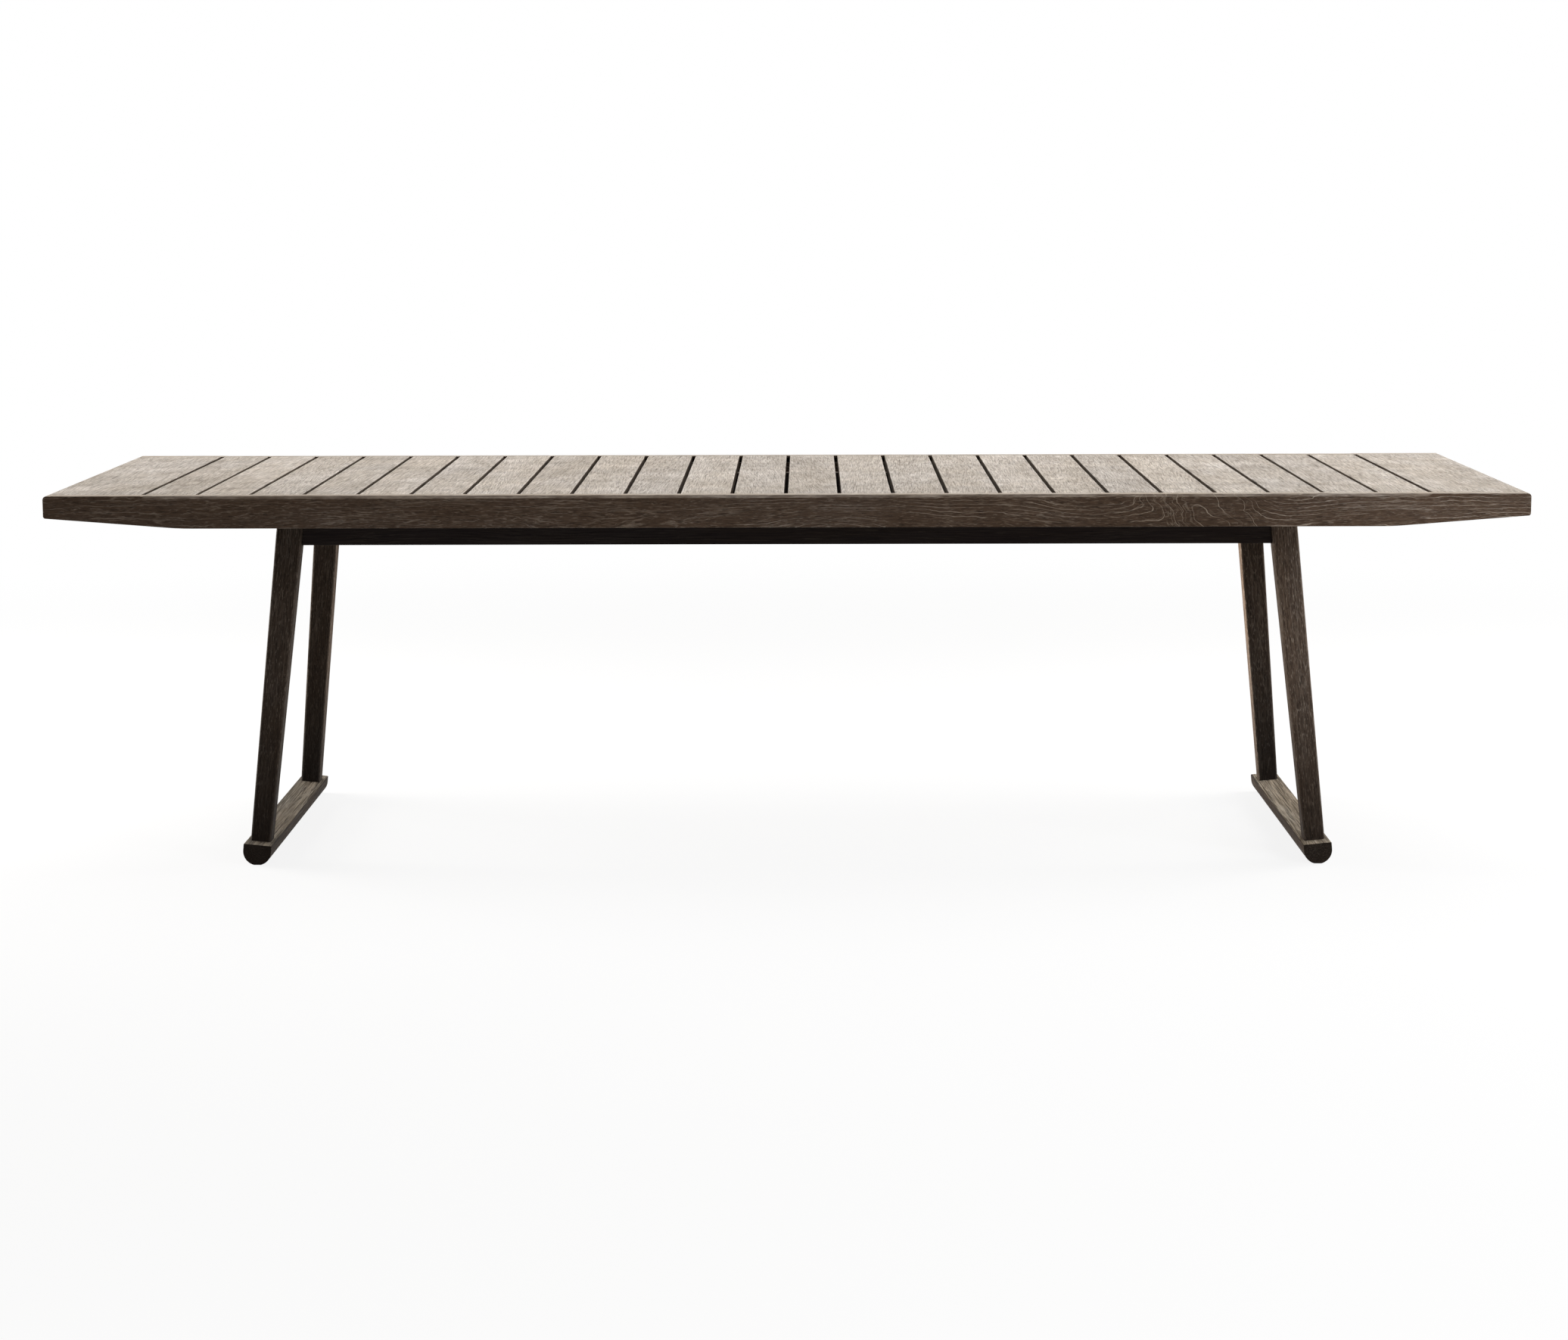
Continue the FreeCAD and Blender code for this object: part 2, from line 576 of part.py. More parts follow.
# A leg tapers in width only. It is built a little too long and trimmed level under the slats.
def make_leg(side, face):
    name = f"leg_{FACE_NAMES[face]}_{SIDE_NAMES[side]}"
    body = new_body(f"{name}_blank")
    sections = []
    for end, height, width, y in (("foot", "Sizes.runner_straight", "Sizes.leg_foot_width", "leg_foot_y"),
                                  ("head", "Places.leg_head", "Places.leg_head_width", "leg_head_y")):
        section = new_sketch(body, f"{end}_section", "XY_Plane", height)
        middle = f"{face} * Places.{y}"
        add_rounded_rectangle(section, f"-{width} / 2", f"{middle} - Sizes.leg_depth / 2",
                              f"{width} / 2", f"{middle} + Sizes.leg_depth / 2", "Sizes.leg_edge_round")
        sections.append(section)
    taper = body.newObject("PartDesign::AdditiveLoft", "taper")
    taper.Profile = sections[0]
    taper.Sections = sections[1:]
    taper.Ruled = True

    tenon_section = new_sketch(body, "tenon_section", "XY_Plane", "Sizes.runner_straight")
    add_leg_tenon(tenon_section, face, "0")
    pad(body, "tenon", tenon_section, "2 * Sizes.leg_tenon_length")

    mortise_outline = new_sketch(body, "cross_mortise_outline", "XZ_Plane",
                                 f"{-face} * {leg_inner_y('Places.cross_middle')}")
    half_width = "(Sizes.cross_tenon_thickness / 2 + Sizes.joint_clearance)"
    half_height = "(Sizes.cross_tenon_height / 2 + Sizes.joint_clearance)"
    add_rectangle(mortise_outline, f"-{half_width}", f"Places.cross_middle - {half_height}",
                  half_width, f"Places.cross_middle + {half_height}")
    pocket(body, "cross_mortise", mortise_outline, "Sizes.cross_tenon_length + Sizes.tenon_end_gap")
    place_in_leg_frame(body, side)

    bolt_y = f"{face} * Places.beam_y"
    tools = [
        deck_space,
        leg_mortise(name, side, face, "inner", "Places.beam_middle", "beam"),
        leg_mortise(name, side, face, "outer", "Places.bearer_middle", "bearer"),
        new_rod(f"{name}_bolt_hole", f"{side} * Places.bolt_seat_x", bolt_y, "Places.bolt_z",
                "Places.bolt_hole", "2 * Sizes.leg_top_width"),
        new_rod(f"{name}_counterbore", f"{side} * (Places.bolt_seat_x + Sizes.bolt_counterbore_depth)",
                bolt_y, "Places.bolt_z",
                "Sizes.bolt_counterbore_diameter", "2 * Sizes.bolt_counterbore_depth"),
    ]
    return cut_away(name, body, tools)


# A runner: flat top, upright sides and a half-round underside, planed flat where it meets the floor.
def make_runner(side):
    name = f"runner_{SIDE_NAMES[side]}"
    body = new_body(f"{name}_blank")
    section = new_sketch(body, "runner_section", "XZ_Plane")
    radius, top = value("Places.runner_radius"), value("Sizes.runner_straight")
    corners = [Vector(radius, 0, 0), Vector(radius, top, 0), Vector(-radius, top, 0), Vector(-radius, 0, 0)]
    for start, end in zip(corners, corners[1:]):
        section.addGeometry(Part.LineSegment(start, end), False)
    round_underside = Part.Arc(corners[3], Vector(0, -radius, 0), corners[0])
    section.addGeometry(round_underside, False)
    for line in (0, 1):
        section.addConstraint(Sketcher.Constraint("Coincident", line, 2, line + 1, 1))
    for line in (0, 2):
        section.addConstraint(Sketcher.Constraint("Vertical", line))
    fix_point(section, 1, 1, "Places.runner_radius", "Sizes.runner_straight")
    fix_point(section, 1, 2, "-Places.runner_radius", "Sizes.runner_straight")
    section.addConstraint(Sketcher.Constraint("Tangent", 2, 2, 3, 1))
    section.addConstraint(Sketcher.Constraint("Tangent", 0, 1, 3, 2))
    section.addConstraint(Sketcher.Constraint("PointOnObject", 3, 3, -1))
    pad(body, "runner", section, "Places.runner_length")

    mortise_outlines = new_sketch(body, "mortise_outlines", "XY_Plane", "Sizes.runner_straight")
    for face in (FRONT, BACK):
        add_leg_tenon(mortise_outlines, face, "Sizes.joint_clearance")
    pocket(body, "mortises", mortise_outlines, "Sizes.leg_tenon_length + Sizes.tenon_end_gap")
    round_edges(body, "top_arrises", "Sizes.runner_arris_round",
                lambda e: lies_along_y(e, radius, top) or lies_along_y(e, -radius, top))
    place_in_leg_frame(body, side)
    return cut_away(name, body, [floor_space])


# A cross rail ties two leg tops; its shoulders follow their splay and it is trimmed level on top.
def make_cross_rail(side):
    name = f"cross_rail_{SIDE_NAMES[side]}"
    body = new_body(f"{name}_blank")
    bottom_y, top_y = leg_inner_y("Places.cross_bottom"), leg_inner_y("Places.leg_head")
    outline = new_sketch(body, "rail_outline", "YZ_Plane")
    add_polygon(outline, [(f"-{bottom_y}", "Places.cross_bottom"), (bottom_y, "Places.cross_bottom"),
                          (top_y, "Places.leg_head"), (f"-{top_y}", "Places.leg_head")])
    pad(body, "rail", outline, "Sizes.cross_rail_thickness")
    tenon_end = f"({leg_inner_y('Places.cross_middle')} + Sizes.cross_tenon_length)"
    tenon_outline = new_sketch(body, "tenon_outline", "YZ_Plane")
    add_rectangle(tenon_outline, f"-{tenon_end}", "Places.cross_middle - Sizes.cross_tenon_height / 2",
                  tenon_end, "Places.cross_middle + Sizes.cross_tenon_height / 2")
    pad(body, "tenons", tenon_outline, "Sizes.cross_tenon_thickness")
    place_in_leg_frame(body, side)
    return cut_away(name, body, [deck_space])


# A screw stands on its head's flat underside at its origin, with its point up.
def make_screw(name, grip):
    body = new_body(name)
    radius, head = "Sizes.screw_diameter / 2", "Sizes.screw_head_diameter / 2"
    tip = f"({grip} + Places.screw_bite)"
    profile = new_sketch(body, "screw_profile", "XZ_Plane")
    add_polygon(profile, [
        ("0", "-Sizes.screw_head_height"), ("Sizes.screw_crown_diameter / 2", "-Sizes.screw_head_height"),
        (head, "0"), (radius, "0"), (radius, f"{tip} - Sizes.screw_point_length"), ("0", tip),
    ])
    revolution(body, "screw", profile)
    return body


# A bolt lies along its origin's Z, with its tip up and its head's underside at the origin.
def make_bolt():
    body = new_body("bolt_pattern")
    profile = new_sketch(body, "bolt_profile", "XZ_Plane")
    add_polygon(profile, [
        ("0", "-Sizes.bolt_head_height"), ("Sizes.bolt_head_diameter / 2", "-Sizes.bolt_head_height"),
        ("Sizes.bolt_head_diameter / 2", "0"), ("Sizes.bolt_diameter / 2", "0"),
        ("Sizes.bolt_diameter / 2", "Sizes.bolt_length"), ("0", "Sizes.bolt_length"),
    ])
    revolution(body, "bolt", profile)
    socket = new_sketch(body, "socket_outline", "XY_Plane", "-Sizes.bolt_head_height")
    across = "Sizes.bolt_socket_width / sqrt(3)"
    add_polygon(socket, [(f"{across} * cos({60 * k})", f"{across} * sin({60 * k})") for k in range(6)])
    pocket(body, "socket", socket, "Sizes.bolt_socket_depth")
    return body


def make_washer():
    body = new_body("washer_pattern")
    section = new_sketch(body, "washer_section", "XY_Plane", "Sizes.washer_thickness / 2")
    add_circle(section, "0", "0", "Sizes.washer_diameter")
    add_circle(section, "0", "0", "Places.bolt_hole")
    pad(body, "washer", section, "Sizes.washer_thickness")
    return body


# A barrel nut lies along Y, with its thread along X.
def make_barrel_nut():
    body = new_body("barrel_nut_pattern")
    section = new_sketch(body, "nut_section", "XZ_Plane")
    add_circle(section, "0", "0", "Sizes.barrel_nut_diameter")
    pad(body, "nut", section, "Sizes.barrel_nut_length")
    thread = new_sketch(body, "thread_place", "YZ_Plane")
    add_circle(thread, "0", "0", "Places.bolt_hole")
    pocket(body, "thread", thread, "Sizes.barrel_nut_diameter")
    return body


# Copies of one fastener, as separate solids of one node.
def make_group(name, pattern, spots):
    doc.recompute()
    copies = []
    for spot in spots:
        copy = pattern.Shape.copy()
        copy.Placement = spot
        copies.append(copy)
    group = doc.addObject("Part::Feature", name)
    group.Label = name
    group.Shape = Part.makeCompound(copies)
    return group


def upright_spots(places_xy, height):
    return [Placement(Vector(x, y, height), Rotation()) for x, y in places_xy]


def make_fasteners():
    beam_y = value("Places.beam_y")
    deck = value("Places.deck_underside")
    beam_spots = [(value(x), face * beam_y) for x in beam_screw_xs for face in (FRONT, BACK)]
    bearer_spots = [(value(x), face * beam_y) for side, face in CORNERS for x in bearer_screw_xs(side)]
    beam_grip, bearer_grip = "Sizes.beam_screw_grip", "Sizes.bearer_screw_grip"
    groups = [
        make_group("beam_screws", make_screw("beam_screw_pattern", beam_grip),
                   upright_spots(beam_spots, deck - value(beam_grip))),
        make_group("bearer_screws", make_screw("bearer_screw_pattern", bearer_grip),
                   upright_spots(bearer_spots, deck - value(bearer_grip))),
    ]
    bolt_z, seat, nut = (value(f"Places.{name}") for name in ("bolt_z", "bolt_seat_x", "barrel_nut_x"))
    under_head = seat + value("Sizes.washer_thickness")

    def spots(x, turned):
        return [Placement(Vector(side * x, face * beam_y, bolt_z),
                          Rotation(Vector(0, 1, 0), -side * 90 if turned else 0)) for side, face in CORNERS]

    groups.append(make_group("beam_bolts", make_bolt(), spots(under_head, True)))
    groups.append(make_group("bolt_washers", make_washer(), spots(under_head, True)))
    groups.append(make_group("barrel_nuts", make_barrel_nut(), spots(nut, False)))
    return groups


parts = [make_slat(number) for number in slat_numbers]
parts += [make_end_board(side) for side in (LEFT, RIGHT)]
parts += [make_edge_rail(face) for face in (FRONT, BACK)]
parts += [make_beam(face) for face in (FRONT, BACK)]
parts += [make_end_bearer(side, face) for side, face in CORNERS]
parts += [make_leg(side, face) for side, face in CORNERS]
parts += [make_runner(side) for side in (LEFT, RIGHT)]
parts += [make_cross_rail(side) for side in (LEFT, RIGHT)]
parts += make_fasteners()
doc.recompute()

failed = [obj.Label for obj in doc.Objects if {"Invalid", "Error"} & set(obj.State)]
failed += [part.Label for part in parts if part.Shape.isNull() or not part.Shape.isValid()]
if failed:
    raise SystemExit(f"failed objects: {failed}")

os.makedirs("parts", exist_ok=True)
for part in parts:
    part.Shape.exportStep(f"parts/{part.Label}.step")
    print(f"{part.Label}: {len(part.Shape.Solids)} solids, {part.Shape.Volume / 1000:.1f} cm3")
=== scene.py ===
import math
import random
import bmesh
import bpy
from mathutils import Matrix, Vector


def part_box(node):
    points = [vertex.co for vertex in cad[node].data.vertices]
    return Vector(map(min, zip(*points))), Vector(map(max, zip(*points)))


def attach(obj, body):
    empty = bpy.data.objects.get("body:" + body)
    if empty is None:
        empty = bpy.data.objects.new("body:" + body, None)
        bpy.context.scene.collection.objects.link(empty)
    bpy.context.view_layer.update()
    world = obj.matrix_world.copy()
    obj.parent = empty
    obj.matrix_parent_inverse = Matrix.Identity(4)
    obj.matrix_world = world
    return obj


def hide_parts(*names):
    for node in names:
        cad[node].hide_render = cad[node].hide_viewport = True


# Refectory table: the looks of the slatted teak top, its rails, leg frames and fasteners.
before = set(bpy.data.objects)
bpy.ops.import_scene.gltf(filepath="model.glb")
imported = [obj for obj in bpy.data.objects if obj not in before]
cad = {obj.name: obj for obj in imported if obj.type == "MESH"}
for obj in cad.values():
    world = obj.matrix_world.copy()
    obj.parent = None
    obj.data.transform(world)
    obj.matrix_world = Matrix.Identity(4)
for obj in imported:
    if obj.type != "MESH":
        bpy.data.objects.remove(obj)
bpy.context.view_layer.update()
scene = bpy.context.scene
print("frame loaded:", len(cad), "nodes")


# Shader and node maths
class Wire:  # one output socket; sums on wires add Math nodes
    def __init__(self, tree, socket):
        self.tree = tree
        self.socket = socket

    def node(self, kind, settings=None, inputs=None, output=0):
        made = self.tree.nodes.new(kind)
        for name, setting in (settings or {}).items():
            setattr(made, name, setting)
        for key, given in (inputs or {}).items():
            if isinstance(given, Wire):
                self.tree.links.new(given.socket, made.inputs[key])
            else:
                made.inputs[key].default_value = given
        return Wire(self.tree, made.outputs[output])

    def maths(self, operation, *terms):
        return self.node("ShaderNodeMath", {"operation": operation}, dict(enumerate(terms)))

    def __add__(self, other):
        return self.maths("ADD", self, other)

    def __radd__(self, other):
        return self.maths("ADD", other, self)

    def __sub__(self, other):
        return self.maths("SUBTRACT", self, other)

    def __rsub__(self, other):
        return self.maths("SUBTRACT", other, self)

    def __mul__(self, other):
        return self.maths("MULTIPLY", self, other)

    def __rmul__(self, other):
        return self.maths("MULTIPLY", other, self)

    def __truediv__(self, other):
        return self.maths("DIVIDE", self, other)

    def __pow__(self, other):
        return self.maths("POWER", self, other)


def noise(p, along, across, detail=2.0, roughness=0.5):  # repeats per metre along and across the grain
    stretched = p.node("ShaderNodeVectorMath", {"operation": "MULTIPLY"}, {
        0: p, 1: (along, across, across)})
    return p.node("ShaderNodeTexNoise", {}, {
        "Vector": stretched, "Scale": 1.0, "Detail": detail, "Roughness": roughness})


def rise(value, low, high):  # 0 below low, 1 above high, smooth between
    return value.node("ShaderNodeMapRange", {"interpolation_type": "SMOOTHSTEP"},
                      {"Value": value, "From Min": low, "From Max": high})


def mixed(mask, first, second):  # colours
    return mask.node("ShaderNodeMix", {"data_type": "RGBA"}, {0: mask, 6: first, 7: second}, output=2)


def parts(vector):
    separate = vector.tree.nodes.new("ShaderNodeSeparateXYZ")
    vector.tree.links.new(vector.socket, separate.inputs[0])
    return [Wire(vector.tree, socket) for socket in separate.outputs]


def newMaterial(name):
    material = bpy.data.materials.new(name)
    material.use_nodes = True
    tree = material.node_tree
    tree.nodes.clear()
    shader = tree.nodes.new("ShaderNodeBsdfPrincipled")
    out = tree.nodes.new("ShaderNodeOutputMaterial")
    tree.links.new(shader.outputs[0], out.inputs["Surface"])
    return material, tree, shader


def feed(tree, shader, **wires):
    for name, wire in wires.items():
        tree.links.new(wire.socket, shader.inputs[name.replace("_", " ")])


# Weathered teak. Each board carries grainPos, its own place in the log (x along the grain),
# boardTone, how light it is (0.5 is the middle; on some legs and faces painted light and shade), endGrain,
# 1 on sawn ends, and on slats across, -1 to 1 from edge to edge. Faces that look up are bleached pale,
# the sun's real greying and also painted light, while the other faces keep darker colours as painted shade.
teakGrain = {  # what all the boards share
    "sideDrift": 0.7,           # share of the rings' drift that goes sideways
    "knotRagged": (9.0, 24.0),  # repeats per metre of a knot's ragged outline
    "knotInside": (0.0, 0.3),   # where a calm knot begins
    "knotThinning": 0.6,        # how much thinner the lines are in it
    "lineSoft": 0.16,
    "veinShown": (0.42, 0.6),
    "fleckSoft": 0.1,
    "poreShown": (0.58, 0.68),
    "streaks": (0.34, 0.66),
    "rubs": (12.0, 30.0),       # repeats per metre of rubbed and spared places
    "rubShown": (0.3, 0.6),
    "arris": (0.12, 0.42),      # how far a face leans where it counts as an arris
    "slatRim": (0.93, 0.99),    # where a slat's painted highlight line lies along its edge
    # up to this height the legs and runners are painted darker: painted shade near the floor
    "dampHeight": 0.45,
    "weatherSpots": (5.0, 10.0),
    "warmShown": (0.35, 0.65),
    "limeRelief": 0.5,
    "poreRelief": 0.6,
    "reliefDepth": 0.001,
    "roughness": (0.72, 0.2),   # least, and what a streak adds
}


def teak(name, look):
    shared = teakGrain
    material, tree, shader = newMaterial(name)
    root = Wire(tree, None)
    p = root.node("ShaderNodeAttribute", {"attribute_name": "grainPos"}, {}, output=1)
    tone = root.node("ShaderNodeAttribute", {"attribute_name": "boardTone"}, {}, output=2)
    ends = root.node("ShaderNodeAttribute", {"attribute_name": "endGrain"}, {}, output=2)
    across = root.node("ShaderNodeAttribute", {"attribute_name": "across"}, {}, output=2)
    normal = root.node("ShaderNodeNewGeometry", {}, {}, output=1)

    # the grain's course: rings round the pith, drifting slowly and pushed aside by knots
    x, y, z = parts(p)
    bend = (noise(p, *look["drift"]) - 0.5) * look["wander"]
    ringY = y + bend * shared["sideDrift"]
    ringZ = z + bend
    radius = (ringY * ringY + ringZ * ringZ) ** 0.5
    rings = radius / look["ringWidth"] + noise(p, *look["waves"]) * look["wobble"]
    ragged = noise(p, *shared["knotRagged"]) - 0.5
    thin = 1.0
    for knot in look.get("knots", ()):
        up = z - knot["z"]
        offX = (x - knot["x"] + up * knot.get("tilt", 0.0)) / knot["length"] + ragged * knot["ragged"]
        offZ = up / knot["height"]
        near = x.maths("EXPONENT", (offX * offX + offZ * offZ) * -1.0)
        if "calm" in knot:
            inside = rise(near, *shared["knotInside"]) * knot["calm"]
            rings = rings + (knot["level"] / look["ringWidth"] - rings) * inside
            thin = thin - inside * shared["knotThinning"]
        rings = rings + near * knot["lines"]
    q = p.node("ShaderNodeCombineXYZ", {}, {0: x, 1: ringY, 2: rings * look["ringWidth"]})
    straight = p.node("ShaderNodeCombineXYZ", {}, {0: x, 1: ringY, 2: ringZ}) if "knots" in look else q

    # thin pale ring lines, broken up
    saw = rings.maths("FRACT", rings)
    line = 1 - rise(saw.maths("ABSOLUTE", saw - 0.5) / thin, 0.0, look["lineWidth"])
    lineFrom = look["lineFrom"]
    line = line * rise(noise(q, *look["linePatch"]), lineFrom, lineFrom + shared["lineSoft"])
    if "lineFade" in look:
        start, stop, least = look["lineFade"]
        line = line * (least + rise(x, start, stop) * (1 - least))

    # wavy veins, short flecks, pores and fibre
    veinAt = noise(q, *look["veins"])
    vein = 1 - rise(veinAt.maths("ABSOLUTE", veinAt - 0.5), 0.0, look["veinWidth"])
    vein = vein * rise(noise(q, *look["veinPatch"]), *shared["veinShown"])
    fleckFrom = look["fleckFrom"]
    fleck = rise(noise(straight, *look["flecks"]), fleckFrom, fleckFrom + shared["fleckSoft"])
    pore = rise(noise(straight, *look["pores"]), *shared["poreShown"])
    fibre = noise(straight, *look["fibres"], detail=3.0, roughness=0.6)
    streak = rise(fibre, *shared["streaks"])
    strength = line.maths("MAXIMUM", line * look["lineStrength"], vein * look["veinStrength"])
    strength = line.maths("MAXIMUM", strength, fleck * look["fleckStrength"])

    # weather and painted light: tops bleached where the sun falls and painted lit against sides painted
    # shaded, paler along worn arrises, partly a painted highlight, a painted highlight line along slat
    # edges, dark on sawn ends
    faceX, faceY, faceZ = parts(normal)
    flat = faceX.maths("MAXIMUM", faceX * faceX, faceY * faceY)
    flat = flat.maths("MAXIMUM", flat, faceZ * faceZ)
    rubbed = rise(noise(p, *shared["rubs"]), *shared["rubShown"])
    # paler arrises: wear, and also a painted highlight where rounded edges catch light
    wornAndGlint = rise(1 - flat, *shared["arris"]) * rubbed * look["wear"]
    # faces that look up take the pale colours, the rest the dark ones: real sun greying, and also painted
    # light, lit tops against shaded sides
    bleachAndLight = rise(faceZ, *look["bleachFrom"])
    bleachAndLight = bleachAndLight.maths("MAXIMUM", bleachAndLight, wornAndGlint)
    # a pale line along each slat's edges, broken up like wear: painted highlight
    rim = rise(across.maths("ABSOLUTE", across), *shared["slatRim"]) * rubbed
    strength = strength.maths("MAXIMUM", strength, rim * look["rimStrength"])
    dark = mixed(streak, look["shadow"], look["body"])
    pale = mixed(streak, look["paleShadow"], look["paleBody"])
    colour = mixed(bleachAndLight, dark, pale)
    colour = mixed(strength, colour, mixed(bleachAndLight, look["lime"], look["paleLime"]))
    blotch = noise(p, *look["blotches"], detail=3.0, roughness=0.55)
    broad = noise(p, *look["broad"])
    shade = 1 + (blotch - 0.5) * look["blotchiness"] + (broad - 0.5) * look["unevenness"]
    shade = shade * (1 + (tone - 0.5) * look["toneRange"]) * (1 - pore * look["poreDepth"])
    around = root.node("ShaderNodeTexCoord", {}, {}, output=3)
    along, _, height = parts(around)
    # darker towards the floor on faces that don't look up: painted shade
    footShade = (1 - rise(height, 0.0, shared["dampHeight"])) * look.get("footDarkness", 0.0) * (1 - bleachAndLight)
    shade = shade * (1 - ends * look["endDarkness"]) * (1 - footShade)
    spots = noise(around, *shared["weatherSpots"], detail=3.0, roughness=0.55)
    shade = shade * (1 + (spots - 0.5) * look["weather"])
    if "paleEnd" in look:
        start, stop, gain = look["paleEnd"]
        shade = shade * (1 + rise(along, start, stop) * (1 - bleachAndLight) * gain)
    warmth = mixed(rise(blotch * 0.5 + broad * 0.5, *shared["warmShown"]), look["warm"], look["cool"])
    for factor in (warmth, shade.node("ShaderNodeCombineXYZ", {}, {0: shade, 1: shade, 2: shade})):
        colour = colour.node("ShaderNodeVectorMath", {"operation": "MULTIPLY"}, {0: colour, 1: factor})

    relief = fibre * look["fibreRelief"] - strength * shared["limeRelief"] - pore * shared["poreRelief"]
    bump = relief.node("ShaderNodeBump", {}, {
        "Strength": look["bump"], "Distance": shared["reliefDepth"], "Height": relief})
    least, added = shared["roughness"]
    feed(tree, shader, Base_Color=colour, Roughness=least + streak * added, Normal=bump)
    shader.inputs["Specular IOR Level"].default_value = look["gloss"]
    return material


# The looks of the boards. Pairs such as drift, veins and pores are repeats per metre along and across
# the grain, and bleachFrom says how far a face has to look up.
# In each look the pale colours are for faces that look up and the others for the rest: lit and shaded
# copies of the wood, painted light and shade besides the sun's real greying.
deckLook = {
    "drift": (4.0, 14.0), "wander": 0.02, "ringWidth": 0.0055, "waves": (6.0, 60.0), "wobble": 0.8,
    "lineWidth": 0.14, "linePatch": (9.0, 90.0), "lineFrom": 0.45, "lineStrength": 0.5,
    "veins": (8.0, 230.0), "veinWidth": 0.05, "veinPatch": (6.0, 26.0), "veinStrength": 0.7,
    "flecks": (15.0, 380.0), "fleckFrom": 0.57, "fleckStrength": 0.55,
    "pores": (12.0, 380.0), "poreDepth": 0.4,
    "fibres": (16.0, 300.0), "fibreRelief": 0.6, "bump": 0.5, "gloss": 0.08,
    # faces leaning well over still come out pale, so the slats' rounded edges take a painted highlight
    "wear": 0.0, "rimStrength": 0.4, "bleachFrom": (0.3, 0.8),
    "blotches": (9.0, 18.0), "blotchiness": 0.62, "broad": (1.5, 5.0), "unevenness": 0.25,
    "toneRange": 0.14, "weather": 0.6, "endDarkness": 0.35,
    "warm": (1.025, 1.0, 0.965, 1), "cool": (0.995, 0.998, 1.015, 1),
    # the unbleached colours show on the slats' sides in the gaps and are kept very dark there as painted
    # shade
    "shadow": (0.045, 0.033, 0.026, 1), "body": (0.095, 0.07, 0.053, 1), "lime": (0.22, 0.18, 0.14, 1),
    "paleShadow": (0.345, 0.303, 0.259, 1), "paleBody": (0.59, 0.534, 0.474, 1),
    "paleLime": (0.78, 0.73, 0.665, 1),
}
railKnots = (  # where the front rail's rings swirl, and by how many rings
    {"x": 0.84, "z": 0.05, "length": 0.08, "height": 0.22, "lines": -4.4, "ragged": 0.9, "tilt": 0.5,
     "calm": 0.85, "level": 0.0725},
    {"x": 0.61, "z": 0.085, "length": 0.10, "height": 0.06, "lines": 2.4, "ragged": 0.7},
    {"x": 1.0, "z": 0.085, "length": 0.07, "height": 0.06, "lines": 2.0, "ragged": 0.7},
    {"x": 0.116, "z": 0.005, "length": 0.28, "height": 0.06, "lines": -4.0, "ragged": 0.3},
    {"x": 0.116, "z": 0.0, "length": 0.08, "height": 0.045, "lines": -3.0, "ragged": 0.3},
    {"x": -0.61, "z": 0.0, "length": 0.09, "height": 0.05, "lines": -3.0, "ragged": 0.3},
    {"x": -0.81, "z": 0.0, "length": 0.14, "height": 0.04, "lines": -2.5, "ragged": 0.3},
)
railLook = {
    "drift": (1.6, 9.0), "wander": 0.03, "ringWidth": 0.0075, "waves": (22.0, 70.0), "wobble": 1.2,
    "lineWidth": 0.085, "linePatch": (9.0, 70.0), "lineFrom": 0.42, "lineStrength": 0.95,
    "lineFade": (-0.35, 0.1, 0.45), "paleEnd": (0.85, 1.3, 0.35), "knots": railKnots,
    "veins": (9.0, 260.0), "veinWidth": 0.03, "veinPatch": (7.0, 40.0), "veinStrength": 0.42,
    "flecks": (70.0, 560.0), "fleckFrom": 0.57, "fleckStrength": 0.26,
    "pores": (50.0, 540.0), "poreDepth": 0.45,
    "fibres": (45.0, 420.0), "fibreRelief": 0.6, "bump": 0.5, "gloss": 0.08,
    "wear": 0.35, "rimStrength": 0.0, "bleachFrom": (0.62, 0.97),
    "blotches": (6.0, 26.0), "blotchiness": 0.6, "broad": (0.9, 6.0), "unevenness": 0.35,
    "toneRange": 0.1, "weather": 0.0, "endDarkness": 0.3,
    "warm": (1.05, 1.0, 0.94, 1), "cool": (0.98, 1.0, 1.03, 1),
    "shadow": (0.0472, 0.0304, 0.0208, 1), "body": (0.0792, 0.0528, 0.0368, 1),
    "lime": (0.3168, 0.2640, 0.2168, 1),
    "paleShadow": (0.40, 0.345, 0.29, 1), "paleBody": (0.55, 0.49, 0.42, 1),
    "paleLime": (0.70, 0.64, 0.57, 1),
}
